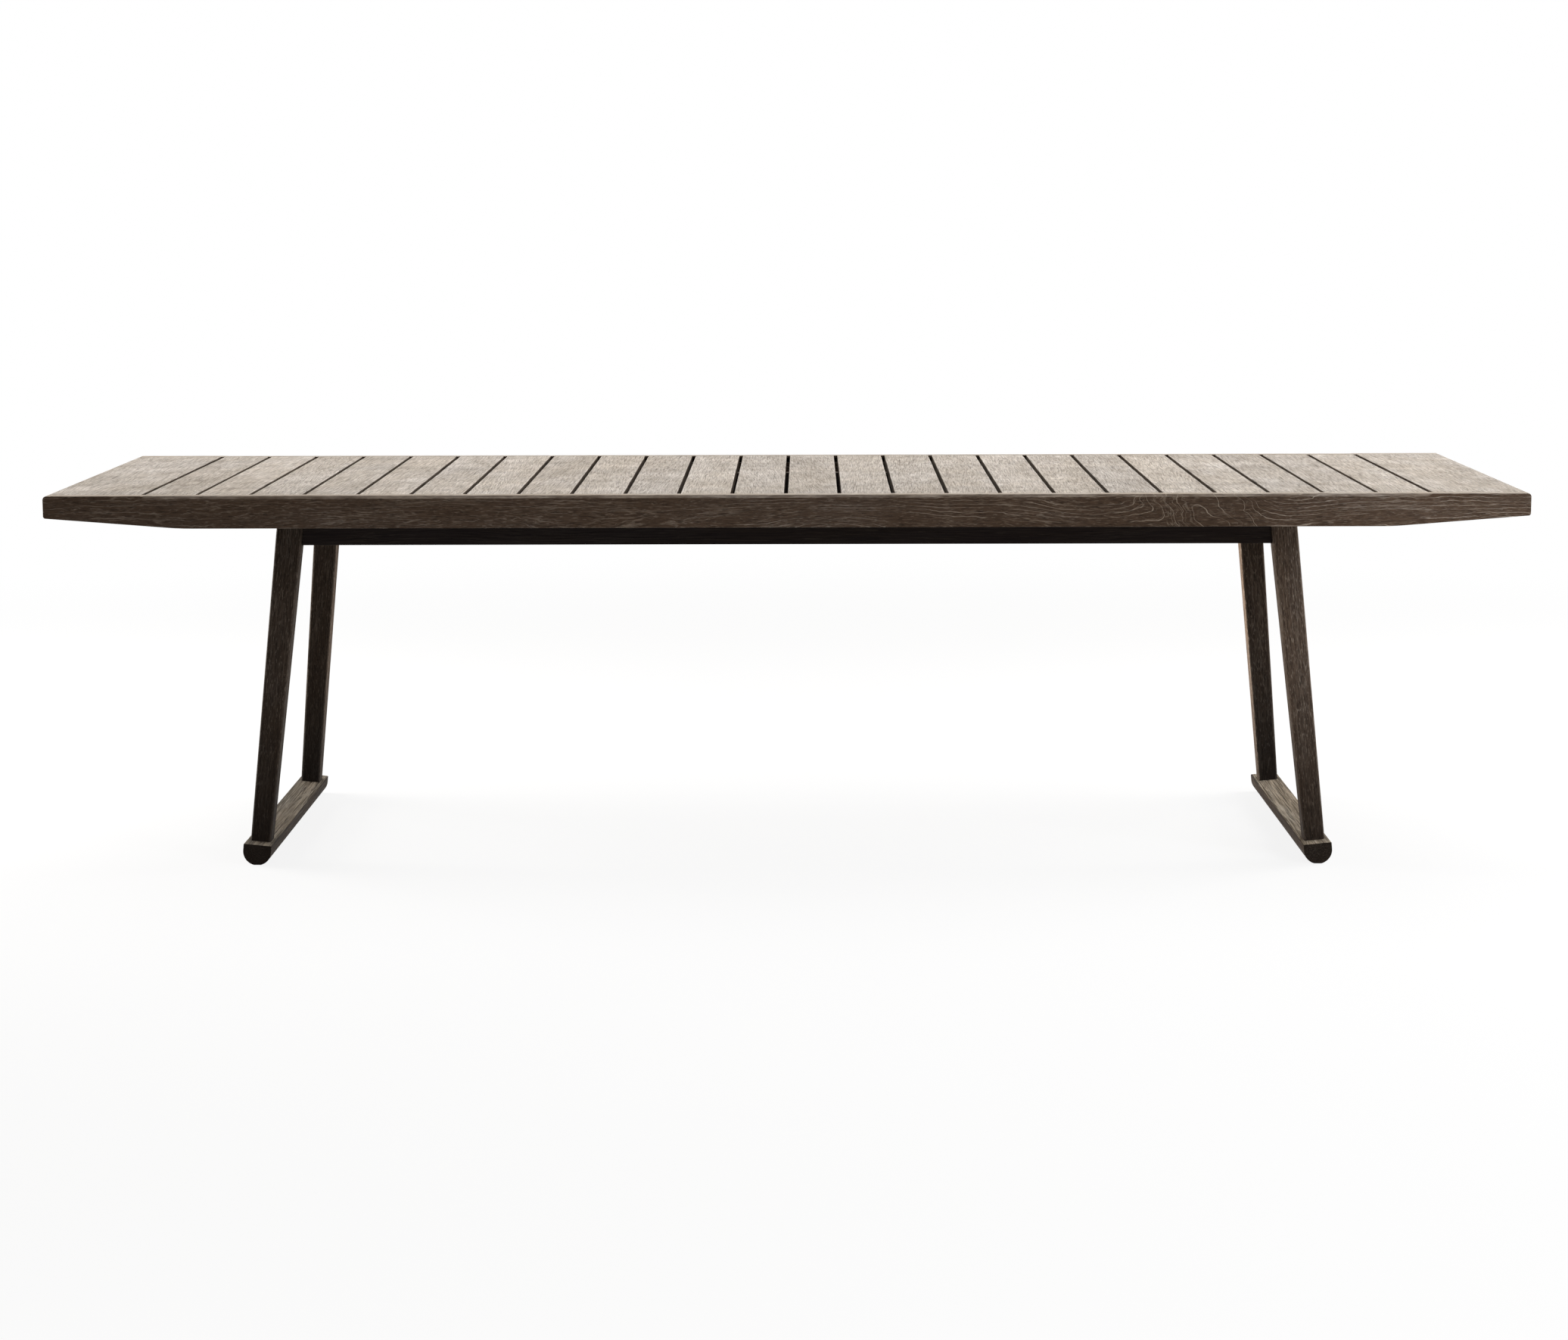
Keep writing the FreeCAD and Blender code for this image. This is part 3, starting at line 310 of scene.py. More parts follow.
legLook = {
    "drift": (4.0, 16.0), "wander": 0.014, "ringWidth": 0.006, "waves": (10.0, 45.0), "wobble": 0.8,
    "lineWidth": 0.12, "linePatch": (12.0, 90.0), "lineFrom": 0.46, "lineStrength": 0.4,
    "veins": (12.0, 280.0), "veinWidth": 0.04, "veinPatch": (8.0, 50.0), "veinStrength": 0.5,
    "flecks": (90.0, 440.0), "fleckFrom": 0.57, "fleckStrength": 0.52,
    "pores": (75.0, 460.0), "poreDepth": 0.5,
    "fibres": (35.0, 440.0), "fibreRelief": 0.7, "bump": 0.5, "gloss": 0.08,
    "wear": 0.15, "rimStrength": 0.0, "bleachFrom": (0.62, 0.97),
    "blotches": (5.0, 30.0), "blotchiness": 0.5, "broad": (1.6, 8.0), "unevenness": 0.4,
    "toneRange": 0.8, "weather": 0.0, "endDarkness": 0.5, "footDarkness": 0.72,
    "warm": (1.05, 1.0, 0.94, 1), "cool": (0.97, 1.0, 1.03, 1),
    "shadow": (0.042, 0.028, 0.020, 1), "body": (0.104, 0.074, 0.055, 1), "lime": (0.30, 0.245, 0.20, 1),
    "paleShadow": (0.13, 0.105, 0.083, 1), "paleBody": (0.28, 0.238, 0.197, 1),
    "paleLime": (0.50, 0.44, 0.38, 1),
}
runnerLook = {  # as the legs, but its pale top, greyed and painted lit, is striped along the grain
    **legLook, "wander": 0.008, "waves": (3.0, 45.0), "footDarkness": 0.6,
    "veins": (4.0, 300.0), "veinPatch": (4.0, 50.0), "flecks": (9.0, 420.0),
    "pores": (5.0, 330.0), "poreDepth": 0.62, "fibres": (4.0, 330.0), "bump": 0.7, "blotchiness": 0.35,
    "paleShadow": (0.075, 0.059, 0.042, 1), "paleBody": (0.32, 0.275, 0.217, 1),
    "paleLime": (0.55, 0.49, 0.41, 1),
}
beamLook = {
    "drift": (1.8, 9.0), "wander": 0.03, "ringWidth": 0.006, "waves": (6.0, 40.0), "wobble": 0.8,
    "lineWidth": 0.12, "linePatch": (7.0, 70.0), "lineFrom": 0.47, "lineStrength": 0.4,
    "veins": (4.0, 200.0), "veinWidth": 0.035, "veinPatch": (6.0, 40.0), "veinStrength": 0.35,
    "flecks": (16.0, 450.0), "fleckFrom": 0.6, "fleckStrength": 0.35,
    "pores": (16.0, 500.0), "poreDepth": 0.4,
    "fibres": (8.0, 420.0), "fibreRelief": 0.6, "bump": 0.45, "gloss": 0.06,
    "wear": 0.15, "rimStrength": 0.0, "bleachFrom": (0.62, 0.97),
    "blotches": (5.0, 26.0), "blotchiness": 0.5, "broad": (1.0, 6.0), "unevenness": 0.4,
    "toneRange": 0.2, "weather": 0.0, "endDarkness": 0.4,
    "warm": (1.05, 1.0, 0.95, 1), "cool": (0.98, 1.0, 1.03, 1),
    # near black, far darker than the other teak: painted shade, as under the deck
    "shadow": (0.0112, 0.0081, 0.0081, 1), "body": (0.0236, 0.0180, 0.0161, 1),
    "lime": (0.0620, 0.0515, 0.0422, 1),
    "paleShadow": (0.20, 0.165, 0.13, 1), "paleBody": (0.36, 0.31, 0.26, 1),
    "paleLime": (0.50, 0.45, 0.40, 1),
}
wood = {"deck": teak("deckTeak", deckLook), "rail": teak("railTeak", railLook),
        "leg": teak("legTeak", legLook), "runner": teak("runnerTeak", runnerLook),
        "beam": teak("beamTeak", beamLook)}


# Stainless steel, finely brushed
steelLook = {"brush": (900.0, 2500.0), "dull": (0.46, 0.46, 0.45, 1), "bright": (0.62, 0.62, 0.60, 1),
             "roughness": (0.28, 0.2)}


def steel():
    material, tree, shader = newMaterial("stainless")
    p = Wire(tree, None).node("ShaderNodeTexCoord", {}, {}, output=3)
    brushed = noise(p, *steelLook["brush"])
    colour = mixed(brushed, steelLook["dull"], steelLook["bright"])
    least, added = steelLook["roughness"]
    feed(tree, shader, Base_Color=colour, Roughness=least + brushed * added)
    shader.inputs["Metallic"].default_value = 1.0
    return material


stainless = steel()
print("materials made:", len(bpy.data.materials))


# A finished piece: rides on the one body and stands for its CAD nodes
def finishPiece(piece, slot, *replaced):
    if piece.name not in scene.collection.objects:
        scene.collection.objects.link(piece)
    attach(piece, "root")
    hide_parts(*replaced)
    return piece


def setInputs(modifier, tree, values):
    for item in tree.interface.items_tree:
        if item.item_type == "SOCKET" and item.in_out == "INPUT" and item.name in values:
            modifier[item.identifier] = values[item.name]


def newTree(name, sockets):
    tree = bpy.data.node_groups.new(name, "GeometryNodeTree")
    for label, kind in sockets.items():
        tree.interface.new_socket(label, in_out="INPUT", socket_type="NodeSocket" + kind)
    tree.interface.new_socket("Geometry", in_out="OUTPUT", socket_type="NodeSocketGeometry")
    given = tree.nodes.new("NodeGroupInput")
    return tree, {label: Wire(tree, given.outputs[label]) for label in sockets}


def closeTree(geometry, material):
    real = geometry.node("GeometryNodeRealizeInstances", {}, {0: geometry})
    dressed = real.node("GeometryNodeSetMaterial", {}, {"Geometry": real, "Material": material})
    out = geometry.tree.nodes.new("NodeGroupOutput")
    geometry.tree.links.new(dressed.socket, out.inputs[0])


def evaluated(name, tree, values, carrier=None):
    mesh = carrier or bpy.data.meshes.new(name + "Carrier")
    holder = bpy.data.objects.new(name + "Holder", mesh)
    scene.collection.objects.link(holder)
    modifier = holder.modifiers.new("tree", "NODES")
    modifier.node_group = tree
    setInputs(modifier, tree, values)
    depsgraph = bpy.context.evaluated_depsgraph_get()
    made = bpy.data.meshes.new_from_object(holder.evaluated_get(depsgraph), depsgraph=depsgraph)
    holder.modifiers.remove(modifier)
    bpy.data.objects.remove(holder)
    made.name = name
    return bpy.data.objects.new(name, made)


# Deck slats: one board tree, evaluated once for each slat with its own seed
slatSizes = {
    "edgeRound": 0.0018,
    "edgeSteps": 3,
    "stations": 64,
    "edgeWander": 0.0016,           # how far a worn edge strays
    "edgeWaves": 14.0,              # repeats per metre
    "edgesApart": 3.0,              # keeps a slat's two edges different
    "topWander": 0.0008,            # how far a slat's top dips
    "topWaves": 3.0,
    "topsApart": 5.0,
    "topShift": 40.0,               # keeps the top's waves off the edges'
    "seedStep": 7.31,               # from one slat's waves to the next
    "pithLow": (-20.0, -0.09, 0.03),
    "pithHigh": (20.0, 0.09, 0.14),
    "lean": 0.05,                   # how far the grain runs off the slat's own line
    "leanDown": 0.6,
    "leanSeed": 50,
    "toneSeed": 100,
}


def slatTree():
    size = slatSizes
    tree, given = newTree("deckSlat", {
        "Center X": "Float", "Top Z": "Float", "Width": "Float", "Thickness": "Float", "Length": "Float",
        "Edge Round": "Float", "Stations": "Int", "Edge Wander": "Float", "Top Wander": "Float",
        "Seed": "Int", "Material": "Material"})
    half = given["Length"] * 0.5
    middle = given["Top Z"] - given["Thickness"] * 0.5
    front = half.node("ShaderNodeCombineXYZ", {}, {0: given["Center X"], 1: half * -1.0, 2: middle})
    back = half.node("ShaderNodeCombineXYZ", {}, {0: given["Center X"], 1: half, 2: middle})
    line = half.node("GeometryNodeCurvePrimitiveLine", {}, {"Start": front, "End": back})
    line = line.node("GeometryNodeResampleCurve", {}, {"Curve": line, "Count": given["Stations"]})
    line = line.node("GeometryNodeSetCurveNormal", {"mode": "Z_UP"}, {"Curve": line})
    section = half.node("GeometryNodeCurvePrimitiveQuadrilateral", {}, {
        "Width": given["Width"], "Height": given["Thickness"]})
    section = section.node("GeometryNodeFilletCurve", {"mode": "POLY"}, {
        "Curve": section, "Count": size["edgeSteps"], "Radius": given["Edge Round"]})
    board = line.node("GeometryNodeCurveToMesh", {}, {
        "Curve": line, "Profile Curve": section, "Fill Caps": True})

    place = board.node("GeometryNodeInputPosition")
    px, py, pz = parts(place)
    off = px - given["Center X"]
    side = off.maths("SIGN", off)
    seed = given["Seed"] * size["seedStep"]
    waveAt = place.node("ShaderNodeCombineXYZ", {}, {
        0: side * size["edgesApart"] + seed, 1: py * size["edgeWaves"], 2: seed})
    wave = place.node("ShaderNodeTexNoise", {}, {"Vector": waveAt, "Scale": 1.0, "Detail": 3.0})
    dipAt = place.node("ShaderNodeCombineXYZ", {}, {
        0: side * size["topsApart"] + seed, 1: py * size["topWaves"], 2: seed + size["topShift"]})
    dip = place.node("ShaderNodeTexNoise", {}, {"Vector": dipAt, "Scale": 1.0, "Detail": 2.0})
    strayX = side * (wave - 0.5) * given["Edge Wander"]
    strayZ = pz.maths("GREATER_THAN", pz, middle) * dip * given["Top Wander"] * -1.0
    stray = place.node("ShaderNodeCombineXYZ", {}, {0: strayX, 2: strayZ})
    board = board.node("GeometryNodeSetPosition", {}, {"Geometry": board, "Offset": stray})

    oneId = place.node("FunctionNodeInputInt", {"integer": 1})
    pith = place.node("FunctionNodeRandomValue", {"data_type": "FLOAT_VECTOR"}, {
        0: size["pithLow"], 1: size["pithHigh"], "ID": oneId, "Seed": given["Seed"]})
    lean = place.node("FunctionNodeRandomValue", {"data_type": "FLOAT"}, {
        2: -size["lean"], 3: size["lean"], "ID": oneId, "Seed": given["Seed"] + size["leanSeed"]}, output=1)
    down = pz - given["Top Z"] + py * lean * size["leanDown"]
    own = place.node("ShaderNodeCombineXYZ", {}, {0: py, 1: off + py * lean, 2: down})
    grain = place.node("ShaderNodeVectorMath", {"operation": "ADD"}, {0: own, 1: pith})
    tone = place.node("FunctionNodeRandomValue", {"data_type": "FLOAT"}, {
        2: 0.0, 3: 1.0, "ID": oneId, "Seed": given["Seed"] + size["toneSeed"]}, output=1)
    share = off / (given["Width"] * 0.5)
    for label, kind, wire in (("grainPos", "FLOAT_VECTOR", grain), ("boardTone", "FLOAT", tone),
                              ("across", "FLOAT", share)):
        board = board.node("GeometryNodeStoreNamedAttribute", {"data_type": kind, "domain": "POINT"}, {
            "Geometry": board, "Name": label, "Value": wire})
    closeTree(board, given["Material"])
    return tree


def smoothed(piece, angle=48.0):  # round arrises, flat faces
    piece.data.shade_smooth()
    piece.data.set_sharp_from_angle(angle=math.radians(angle))
    scene.collection.objects.link(piece)
    modifier = piece.modifiers.new("flatFaces", "WEIGHTED_NORMAL")
    modifier.keep_sharp = True
    depsgraph = bpy.context.evaluated_depsgraph_get()
    mesh = bpy.data.meshes.new_from_object(piece.evaluated_get(depsgraph), depsgraph=depsgraph)
    piece.modifiers.remove(modifier)
    mesh.name = piece.name
    piece.data = mesh


slatNames = sorted(name for name in cad if name.startswith("slat_"))
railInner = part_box("edge_rail_back")[0].y
tree = slatTree()
for seed, name in enumerate(slatNames, start=1):
    low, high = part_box(name)
    piece = evaluated("deckSlat" + name[-2:], tree, {
        "Center X": (low.x + high.x) / 2, "Top Z": high.z, "Width": high.x - low.x,
        "Thickness": high.z - low.z, "Length": 2 * railInner, "Edge Round": slatSizes["edgeRound"],
        "Stations": slatSizes["stations"], "Edge Wander": slatSizes["edgeWander"],
        "Top Wander": slatSizes["topWander"], "Seed": seed, "Material": wood["deck"]})
    smoothed(piece)
    finishPiece(piece, "deck_teak", name)
print("slats made:", len(slatNames))


# Boards and members that keep their CAD shape, with eased arrises and grain of their own
easing = {"segments": 2, "profile": 0.5, "sharpAngle": 32.0, "flatAngle": 0.5, "mergeWithin": 1e-5}
facing = 0.8   # a face looks along a line when its normal has this share of it
chance = random.Random(11)


def easedMesh(name, node, material, width, shortest=0.0):  # arrises up to the shortest stay sharp
    mesh = cad[node].data.copy()
    mesh.name = name
    shape = bmesh.new()
    shape.from_mesh(mesh)
    bmesh.ops.remove_doubles(shape, verts=shape.verts, dist=easing["mergeWithin"])
    if width:
        level = math.radians(easing["flatAngle"])
        sharp = math.radians(easing["sharpAngle"])
        bmesh.ops.dissolve_limit(shape, angle_limit=level, verts=shape.verts, edges=shape.edges)
        edges = [e for e in shape.edges if e.is_manifold and e.is_convex and e.calc_length() > shortest]
        arrises = [e for e in edges if e.calc_face_angle() > sharp]
        bmesh.ops.bevel(shape, geom=arrises, offset=width, segments=easing["segments"],
                        profile=easing["profile"], affect="EDGES", clamp_overlap=True)
    shape.to_mesh(mesh)
    shape.free()
    mesh.materials.clear()
    mesh.materials.append(material)
    return mesh


def easedCopy(name, node, member, grain, pith, tone, paintedLitTone):
    mesh = easedMesh(name, node, wood[member["wood"]], member["eased"], member["shortest"])
    low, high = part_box(node)
    middle = (low + high) / 2
    turn = grain.to_track_quat("X", "Z").to_matrix().inverted()
    place = mesh.attributes.new("grainPos", "FLOAT_VECTOR", "POINT")
    for spot, vertex in zip(place.data, mesh.vertices):
        spot.vector = turn @ (vertex.co - middle) + pith
    inner = -math.copysign(1, middle.x)
    along = grain.normalized()
    normals = [face.normal for face in mesh.polygons]
    # faces towards the table's middle take their own, lighter tone: painted light from the side
    tones = [paintedLitTone if normal.x * inner > facing else tone for normal in normals]
    ends = [1.0 if abs(normal.dot(along)) > facing else 0.0 for normal in normals]
    mesh.attributes.new("boardTone", "FLOAT", "FACE").data.foreach_set("value", tones)
    mesh.attributes.new("endGrain", "FLOAT", "FACE").data.foreach_set("value", ends)
    piece = bpy.data.objects.new(name, mesh)
    smoothed(piece)
    return piece


log = {"reach": 20, "side": 0.08, "depth": (0.5, 1.5)}  # where in it a board may lie


def somePith(depth):
    least, most = log["depth"]
    x = chance.uniform(-log["reach"], log["reach"])
    y = chance.uniform(-log["side"], log["side"])
    return Vector((x, y, chance.uniform(least, most) * depth))


# tones that also carry painted light: the right front leg and right runner lighter, where more light falls,
# the left and back legs darker as painted shade
memberTonesAndLight = {"leg_front_left": -0.14, "leg_back_left": -0.14, "leg_front_right": 0.55,
               "leg_back_right": -0.08, "runner_left": 0.1, "runner_right": 0.6}
paintedLitTones = {"leg_back_left": 0.6, "leg_back_right": 3.3}  # faces towards the table's middle, painted lighter as lit from the side: painted light
railPiths = {"edge_rail_front": Vector((0.0, 0.065, 0.05)), "edge_rail_back": Vector((1.35, -0.065, 0.05))}
members = {
    "endBoard": {"nodes": "end_board_", "slot": "deck_teak", "wood": "deck", "pithDepth": 0.09,
                 "eased": 0.0, "shortest": 0.0},  # these and the legs are round already
    "edgeRail": {"nodes": "edge_rail_", "slot": "rail_teak", "wood": "rail", "pithDepth": 0.06,
                 "eased": 0.0013, "shortest": 0.0},
    "leg": {"nodes": "leg_", "slot": "leg_teak", "wood": "leg", "pithDepth": 0.12,
            "eased": 0.0, "shortest": 0.0},
    "runner": {"nodes": "runner_", "slot": "leg_teak", "wood": "runner", "pithDepth": 0.12,
               "eased": 0.0013, "shortest": 0.0},
    "beam": {"nodes": "beam_", "slot": "beam_teak", "wood": "beam", "pithDepth": 0.1,
             "eased": 0.0013, "shortest": 0.006},
    "crossRail": {"nodes": "cross_rail_", "slot": "beam_teak", "wood": "beam", "pithDepth": 0.1,
                  "eased": 0.0013, "shortest": 0.006},
    "endBearer": {"nodes": "end_bearer_", "slot": "beam_teak", "wood": "beam", "pithDepth": 0.1,
                  "eased": 0.0013, "shortest": 0.006},
}
fastenerNodes = ("beam_screws", "bearer_screws", "beam_bolts", "bolt_washers", "barrel_nuts")
legSection = 0.05   # taken off a leg's box to find its lean


def grainOf(node):
    low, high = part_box(node)
    size = high - low
    if node.startswith("leg_"):
        towardsMiddle = Vector((-math.copysign(1, low.x), -math.copysign(1, low.y), 1))
        return Vector((size.x - legSection, size.y - legSection, size.z)) * towardsMiddle
    return Vector((1, 0, 0)) if size.x > size.y else Vector((0, 1, 0))


memberCount = 0
for kind, member in members.items():
    for node in sorted(n for n in cad if n.startswith(member["nodes"]) and n not in fastenerNodes):
        name = kind + node[len(member["nodes"]):].title().replace("_", "")
        pith = railPiths.get(node) or somePith(member["pithDepth"])
        tone = memberTonesAndLight.get(node, chance.random())
        piece = easedCopy(name, node, member, grainOf(node), pith, tone, paintedLitTones.get(node, tone))
        finishPiece(piece, member["slot"], node)
        memberCount += 1
print("members made:", memberCount)


# Fasteners: a lathe-turned pattern each, set on the CAD's places by one tree
screwSizes = {
    "sides": 24, "head": 0.0035, "shank": 0.0025, "root": 0.0019, "pitch": 0.0022, "plain": 0.014,
    "point": 0.005, "pointFrom": 0.8, "recess": 0.0021, "recessDepth": 0.0018,
    "headRings": ((0.0028, 0.0), (0.0035, 0.0002), (0.0043, 0.0012), (0.0048, 0.0024),
                  (0.005, 0.0031), (0.0049, 0.0035)),  # radius, and depth under the crown
}
boltSizes = {
    "sides": 24, "head": 0.008, "shank": 0.004, "root": 0.0034, "pitch": 0.00125, "plain": 0.045,
    "length": 0.09, "endPlain": 0.001, "endRound": 0.0002, "endShare": 0.8,
    "socket": 0.0032, "socketDepth": 0.004, "socketEase": 0.0003,
    "headRings": ((0.0038, 0.0), (0.0059, 0.0), (0.0064, 0.0004), (0.0065, 0.001),
                  (0.0065, 0.0077), (0.0063, 0.008)),  # radius, and depth under the face
}
plainEase = 0.0002                            # arrises of washers and nuts
threadShape = {"root": 0.35, "crest": 0.85}   # shares of the pitch
driveShape = {"lobes": 6, "depth": 0.12}
mergeWithin = 1e-6


def islands(node):  # boxes of the node's separate solids, in a fixed order
    shape = bmesh.new()
    shape.from_mesh(cad[node].data)
    bmesh.ops.remove_doubles(shape, verts=shape.verts, dist=mergeWithin)
    known = set()
    boxes = []
    for first in shape.verts:
        if first in known:
            continue
        known.add(first)
        stack = [first]
        spots = []
        while stack:
            vertex = stack.pop()
            spots.append(vertex.co.copy())
            near = [edge.other_vert(vertex) for edge in vertex.link_edges]
            fresh = [other for other in near if other not in known]
            known.update(fresh)
            stack.extend(fresh)
        boxes.append((Vector(map(min, zip(*spots))), Vector(map(max, zip(*spots)))))
    shape.free()
    return sorted(boxes, key=lambda box: tuple(box[0]))


def turned(name, rings, sides):  # rings of radius, height and whether lobed, from pole to pole
    shape = bmesh.new()
    rows = []
    for radius, height, lobed in rings:
        if radius == 0:
            rows.append([shape.verts.new((0, 0, height))] * sides)
            continue
        row = []
        for step in range(sides):
            angle = 2 * math.pi * step / sides
            reach = radius
            if lobed:
                reach *= 1 + driveShape["depth"] * math.cos(driveShape["lobes"] * angle)
            row.append(shape.verts.new((reach * math.cos(angle), reach * math.sin(angle), height)))
        rows.append(row)
    for lower, upper in zip(rows, rows[1:]):
        for step in range(sides):
            after = (step + 1) % sides
            corners = [lower[step], lower[after], upper[after], upper[step]]
            shape.faces.new(dict.fromkeys(corners))
    bmesh.ops.recalc_face_normals(shape, faces=shape.faces)
    mesh = bpy.data.meshes.new(name)
    shape.to_mesh(mesh)
    shape.free()
    return bpy.data.objects.new(name, mesh)


def thread(sizes, start, stop):
    count = int((stop - start) / sizes["pitch"])
    rings = []
    for turn in range(count):
        foot = start + turn * sizes["pitch"]
        rings.append((sizes["root"], foot + sizes["pitch"] * threadShape["root"], False))
        rings.append((sizes["shank"], foot + sizes["pitch"] * threadShape["crest"], False))
    return rings


def screwPattern(name, tip):
    size = screwSizes
    crown = -size["head"]
    floor = crown + size["recessDepth"]
    rings = [(0, floor, False), (size["recess"], floor, True), (size["recess"], crown, True)]
    rings += [(radius, crown + depth, False) for radius, depth in size["headRings"]]
    rings += [(size["shank"], 0, False), (size["shank"], size["plain"], False)]
    rings += thread(size, size["plain"], tip - size["point"])
    rings += [(size["root"], tip - size["point"] * size["pointFrom"], False), (0, tip, False)]
    return turned(name, rings, size["sides"])


def boltPattern(name):
    size = boltSizes
    face = -size["head"]
    end = size["length"]
    floor = face + size["socketDepth"]
    rings = [(0, floor, False), (size["socket"], floor, True)]
    rings += [(size["socket"], face + size["socketEase"], True)]
    rings += [(radius, face + depth, False) for radius, depth in size["headRings"]]
    rings += [(size["shank"], 0, False), (size["shank"], size["plain"], False)]
    rings += thread(size, size["plain"], end - size["endPlain"])
    rings += [(size["root"], end - size["endRound"], False), (size["root"] * size["endShare"], end, False)]
    rings += [(0, end, False)]
    return turned(name, rings, size["sides"])


def fastenerTree():
    tree, given = newTree("fasteners", {
        "Geometry": "Geometry", "Pattern": "Object", "Spin": "Vector", "Seed": "Int",
        "Material": "Material"})
    points = given["Geometry"]
    axis = points.node("GeometryNodeInputNamedAttribute", {"data_type": "FLOAT_VECTOR"}, {"Name": "facing"})
    turn = points.node("FunctionNodeAlignRotationToVector", {"axis": "Z"}, {"Vector": axis})
    pattern = points.node("GeometryNodeObjectInfo", {"transform_space": "ORIGINAL"}, {
        "Object": given["Pattern"]}, output="Geometry")
    placed = points.node("GeometryNodeInstanceOnPoints", {}, {
        "Points": points, "Instance": pattern, "Rotation": turn})
    spin = points.node("FunctionNodeRandomValue", {"data_type": "FLOAT_VECTOR"}, {
        0: (0.0, 0.0, 0.0), 1: given["Spin"], "Seed": given["Seed"]})
    placed = points.node("GeometryNodeRotateInstances", {}, {"Instances": placed, "Rotation": spin})
    closeTree(placed, given["Material"])
    return tree


def setFasteners(name, node, pattern, places, seed):
    carrier = bpy.data.meshes.new(name + "Places")
    carrier.from_pydata([spot for spot, axis in places], [], [])
    axes = carrier.attributes.new("facing", "FLOAT_VECTOR", "POINT")
    axes.data.foreach_set("vector", [part for spot, axis in places for part in axis])
    scene.collection.objects.link(pattern)
    piece = evaluated(name, fasteners, {
        "Pattern": pattern, "Spin": (0, 0, 2 * math.pi), "Seed": seed, "Material": stainless}, carrier)
    bpy.data.objects.remove(pattern)
    smoothed(piece)
    return finishPiece(piece, "stainless", node)


fasteners = fastenerTree()
for name, node, seed in (("beamScrews", "beam_screws", 0), ("bearerScrews", "bearer_screws", 1)):
    boxes = islands(node)
    places = [((low + high) / 2, (0, 0, 1)) for low, high in boxes]
    for (spot, axis), (low, high) in zip(places, boxes):
        spot.z = low.z + screwSizes["head"]
    low, high = boxes[0]
    pattern = screwPattern(name + "Pattern", high.z - low.z - screwSizes["head"])
    setFasteners(name, node, pattern, places, seed)
places = []
for low, high in islands("beam_bolts"):
    spot = (low + high) / 2
    side = math.copysign(1, spot.x)
    spot.x = side * (max(abs(low.x), abs(high.x)) - boltSizes["head"])
    places.append((spot, (-side, 0, 0)))
setFasteners("beamBolts", "beam_bolts", boltPattern("boltPattern"), places, seed=5)
for name, node in (("boltWashers", "bolt_washers"), ("barrelNuts", "barrel_nuts")):
    piece = bpy.data.objects.new(name, easedMesh(name, node, stainless, plainEase))
    smoothed(piece)
    finishPiece(piece, "stainless", node)
print("fasteners made")


# Floor, lights and camera
floorLook = {
    "half": 40.0,
    "shadowFades": (2.2, 5.5),            # metres from the middle
    "whiteness": 0.86,                    # the rest of it takes the shadow
    "paint": (0.9, 0.9, 0.9, 1),
    "bounce": (0.24, 0.238, 0.232, 1),    # what it throws back at the table
}
white = (1, 1, 1, 1)


def seenStraight(tree):  # 1 for what the camera sees, also in metal and through glass
    path = tree.nodes.new("ShaderNodeLightPath")
    seen = Wire(tree, path.outputs["Is Camera Ray"])
    for label in ("Is Glossy Ray", "Is Transmission Ray"):
        seen = seen.maths("MAXIMUM", seen, Wire(tree, path.outputs[label]))
    return seen


def floorMaterial():
    material, tree, shader = newMaterial("floor")
    tree.nodes.remove(shader)
    seen = seenStraight(tree)
    p = seen.node("ShaderNodeTexCoord", {}, {}, output=3)
    distance = p.node("ShaderNodeVectorMath", {"operation": "LENGTH"}, {0: p}, output=1)
    away = rise(distance, *floorLook["shadowFades"])
    glow = seen.node("ShaderNodeEmission", {}, {"Color": white, "Strength": 1.0})
    soft = seen.node("ShaderNodeBsdfDiffuse", {}, {"Color": floorLook["paint"]})
    bounce = seen.node("ShaderNodeBsdfDiffuse", {}, {"Color": floorLook["bounce"]})
    share = floorLook["whiteness"] + away * (1 - floorLook["whiteness"])
    shown = seen.node("ShaderNodeMixShader", {}, {0: share, 1: soft, 2: glow})
    both = seen.node("ShaderNodeMixShader", {}, {0: seen, 1: bounce, 2: shown})
    out = next(n for n in tree.nodes if n.type == "OUTPUT_MATERIAL")
    tree.links.new(both.socket, out.inputs["Surface"])
    return material


half = floorLook["half"]
corners = [(-half, -half, 0), (half, -half, 0), (half, half, 0), (-half, half, 0)]
floorMesh = bpy.data.meshes.new("floor")
floorMesh.from_pydata(corners, [], [(0, 1, 2, 3)])
floorMesh.materials.append(floorMaterial())
floor = bpy.data.objects.new("floor", floorMesh)
scene.collection.objects.link(floor)

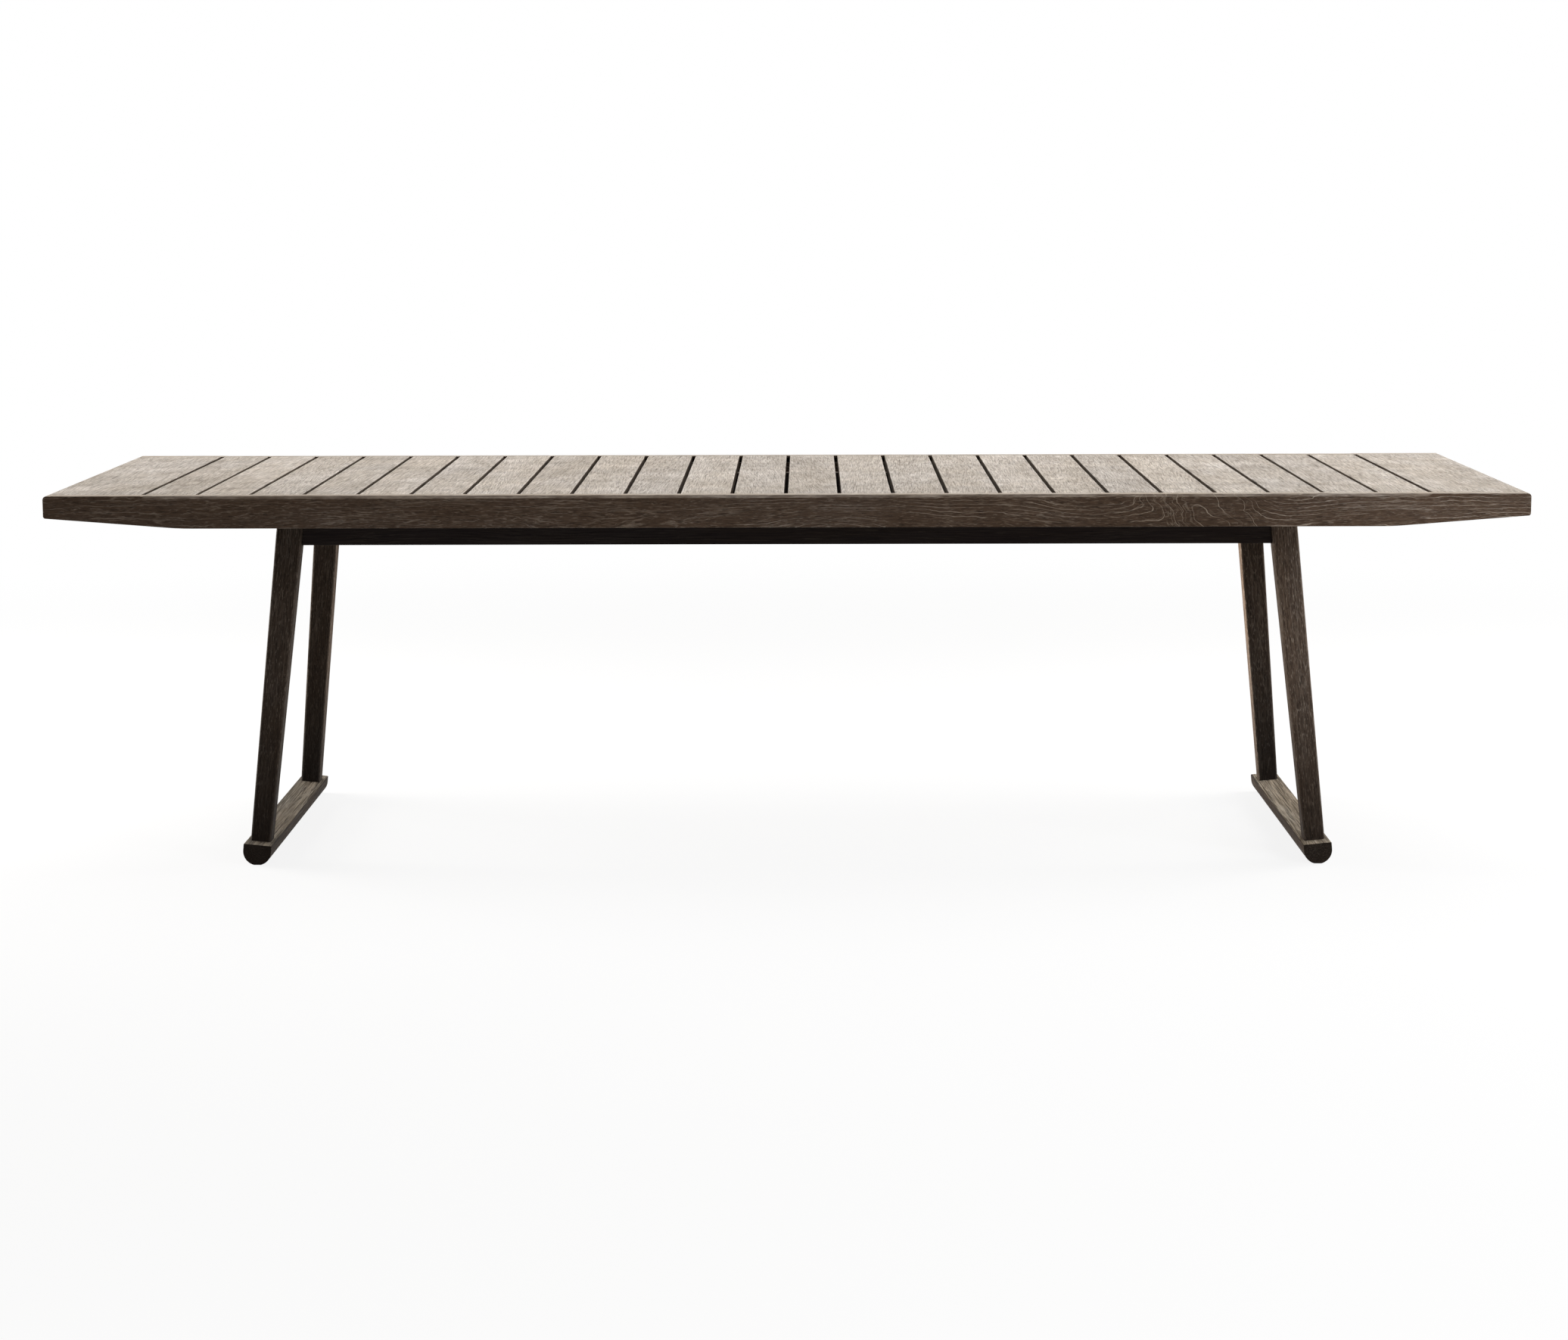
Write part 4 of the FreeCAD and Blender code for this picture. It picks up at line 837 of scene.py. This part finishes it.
ambient = (0.158, 0.15, 0.142, 1)
softBoxes = {
    "overhead": {"at": (0.2, 0.7, 3.4), "aim": (0.2, 0.1, 0.7), "size": (5.0, 2.6), "power": 72.0,
                 "tint": (0.99, 0.99, 1)},
    "left": {"at": (-4.4, 1.9, 1.7), "aim": (0, 0, 0.4), "size": (3.0, 2.4), "power": 145.0,
             "tint": (1, 0.97, 0.93)},
    "right": {"at": (4.4, 1.9, 1.7), "aim": (0, 0, 0.4), "size": (3.0, 2.4), "power": 145.0,
              "tint": (1, 0.97, 0.93)},
    "lowLeft": {"at": (-3.4, 1.0, 0.45), "aim": (1.0, 0.2, 0.35), "size": (1.6, 0.7), "power": 145.0,
                "tint": (1, 0.96, 0.91)},
    "lowRight": {"at": (3.4, 1.0, 0.45), "aim": (-1.0, 0.2, 0.35), "size": (1.6, 0.7), "power": 85.0,
                 "tint": (1, 0.98, 0.96)},
    "front": {"at": (2.0, -5.4, 0.55), "aim": (0.9, 0, 0.55), "size": (4.0, 0.9), "power": 76.0,
              "tint": (1, 0.98, 0.96)},
    "frontFill": {"at": (3.5, -3.2, 2.4), "aim": (0.6, 0, 0.5), "size": (2.4, 2.0), "power": 88.0,
                  "tint": (0.92, 0.96, 1)},
}


def softBox(name, box):
    lamp = bpy.data.lights.new(name, "AREA")
    lamp.shape = "RECTANGLE"
    lamp.size, lamp.size_y = box["size"]
    lamp.energy = box["power"]
    lamp.color = box["tint"]
    light = bpy.data.objects.new(name, lamp)
    light.location = box["at"]
    light.rotation_euler = (Vector(box["aim"]) - Vector(box["at"])).to_track_quat("-Z", "Y").to_euler()
    scene.collection.objects.link(light)
    light.visible_camera = False


for name, box in softBoxes.items():
    softBox(name, box)

world = bpy.data.worlds.new("studio")
world.use_nodes = True
scene.world = world
worldTree = world.node_tree
worldTree.nodes.clear()
seen = seenStraight(worldTree)
dim = seen.node("ShaderNodeBackground", {}, {"Color": ambient, "Strength": 1.0})
plain = seen.node("ShaderNodeBackground", {}, {"Color": white, "Strength": 1.0})
either = seen.node("ShaderNodeMixShader", {}, {0: seen, 1: dim, 2: plain})
worldOut = worldTree.nodes.new("ShaderNodeOutputWorld")
worldTree.links.new(either.socket, worldOut.inputs["Surface"])

view = {"at": (0.0421, -7.1993, 1.3938), "yaw": 0.399, "pitch": -8.294, "roll": -0.164,  # degrees
        "lens": 77.018, "sensor": 36.0, "farthest": 200.0}


def rotation(degrees, axis):
    return Matrix.Rotation(math.radians(degrees), 4, axis)


lens = bpy.data.cameras.new("camera")
lens.sensor_width = view["sensor"]
lens.lens = view["lens"]
lens.clip_end = view["farthest"]
camera = bpy.data.objects.new("camera", lens)
turn = rotation(view["yaw"], "Z") @ rotation(90 + view["pitch"], "X") @ rotation(view["roll"], "Z")
camera.matrix_world = Matrix.Translation(view["at"]) @ turn
scene.collection.objects.link(camera)
scene.camera = camera
scene.view_settings.view_transform = "Standard"
print("stage, lights and camera set")
